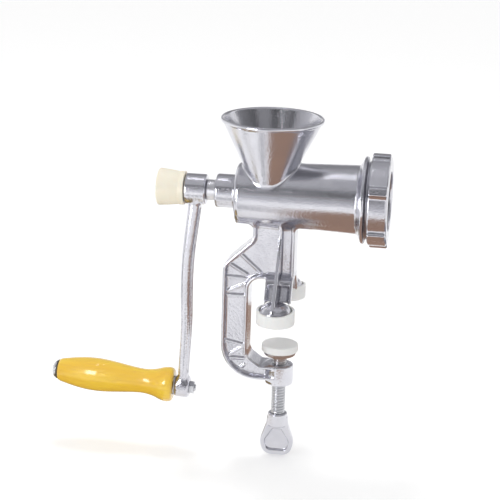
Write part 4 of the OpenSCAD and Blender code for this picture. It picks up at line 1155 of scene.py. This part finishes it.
wall("front_card", (-1.1, -2.0), (0.45, -2.0),
     [(FLOOR_Z, 0.60), (0.27, 0.50), (0.50, 0.36), (0.76, 0.16), (1.05, 0.05), (1.45, 0.28), (1.9, 0.42),
      (2.4, 0.5)])
wall("right_front_card", (0.45, -2.0), (1.6, -1.25), [(0.5, 0.5), (0.9, 0.25), (2.4, 0.4)])
wall("right_card", (1.6, -1.25), (1.8, 0.9),
     [(0.4, 0.5, 0.6), (0.6, 0.12, 0.3), (0.95, 0.07, 0.25), (1.8, 0.3, 0.4)])
wall("left_card", (-1.8, 0.5), (-1.1, -2.0),
     [(0.4, 0.8, 0.5), (0.62, 0.6, 0.22), (0.95, 0.55, 0.22), (2.0, 0.5, 0.4)])
flat_card("ceiling_card", -2.2, 2.2, 2.4, [(-2.0, 0.5), (0.0, 0.52), (1.7, 0.42), (2.6, 0.3)])
wall("back_card", (2.2, 2.6), (-2.2, 2.6), [(0.5, 0.7), (0.9, 0.3), (2.4, 0.3)])
APRON_Z, LOW_Z, TABLE_Z = FLOOR_Z + 0.002, FLOOR_Z + 0.003, -0.045
brown, blue_grey, straw = (0.38, 0.25, 0.19), (0.22, 0.22, 0.26), (0.26, 0.19, 0.09)
flat_card("apron_card", -1.1, 1.0, APRON_Z, [(-2.0, 0.62), (-1.05, 0.75), (-0.80, 1.0)])
flat_card("table_card", -0.026, 0.34, TABLE_Z, [(-0.23, brown), (-0.10, brown)], True)
flat_card("shade_card", -0.022, 0.14, TABLE_Z, [(-0.10, brown), (0.14, brown)], True)
flat_card("far_shade_card", 0.14, 0.34, TABLE_Z,
          [(-0.10, brown), (-0.03, blue_grey), (0.27, blue_grey)], True)
flat_card("crank_shade_card", 0.0, 0.35, LOW_Z, [(-0.41, brown), (-0.22, brown)])
flat_card("grip_card", -0.26, -0.115, LOW_Z, [(-0.12, straw), (0.40, straw)])
flat_card("glint_card", -0.43, -0.375, 2.35, [(-0.40, 1.0), (-0.10, 7.0), (0.40, 7.0), (0.70, 1.0)])
wall("speckle_card", (-0.68, -1.97), (-0.58, -1.97), [(0.91, 12.0), (0.99, 12.0)])
wall("grip_glint_card", (-0.28, -0.30), (-0.20, -0.30), [(0.01, 13.0), (0.19, 13.0)])


def floor_strip(name, start_x, bearing, reach, grey):
    """A narrow strip on the floor that runs out from under a piece, between two bearings."""
    corners = [(start_x + r * math.sin(math.radians(b)), -r * math.cos(math.radians(b)), LOW_Z)
               for r in reach for b in bearing]
    card(name, [(corners[0], corners[1], grey, grey), (corners[2], corners[3], grey, grey)])


floor_strip("crank_strip", -0.085, bearing=(-72, -52), reach=(0.30, 0.80), grey=0.22)
floor_strip("funnel_strip", -0.0125, bearing=(-28, -14), reach=(0.18, 0.36), grey=0.55)
wall("crank_card", (-0.9, -0.7), (-0.75, -0.95), [(-0.1, 0.12), (0.8, 0.12)])

# %% [markdown]
# ## Camera
# A long lens from the user's side, a little above the funnel, turned slightly to the left.

# %% Camera
FOCAL_PIXELS, PICTURE_PIXELS = 1655.97, 500
STANDS_AT = (0.16549, -1.30749, 0.45256)
camera_data = bpy.data.cameras.new("camera")
camera_data.sensor_width = 36.0
camera_data.lens = camera_data.sensor_width * FOCAL_PIXELS / PICTURE_PIXELS
camera_data.clip_end = 20.0
camera = bpy.data.objects.new("camera", camera_data)
bpy.context.scene.collection.objects.link(camera)
azimuth, elevation, roll = math.radians(8.4233), math.radians(16.9304), math.radians(1.7195)
level_way = Vector((-math.sin(azimuth), math.cos(azimuth), 0))
forward = level_way * math.cos(elevation) - Vector((0, 0, math.sin(elevation)))
right = Vector((math.cos(azimuth), math.sin(azimuth), 0))
turned_view = Matrix((right, right.cross(forward), -forward)).transposed() @ Matrix.Rotation(roll, 3, "Z")
camera.matrix_world = Matrix.Translation(STANDS_AT) @ turned_view.to_4x4()
bpy.context.scene.camera = camera
bpy.context.scene.view_settings.view_transform = "Standard"
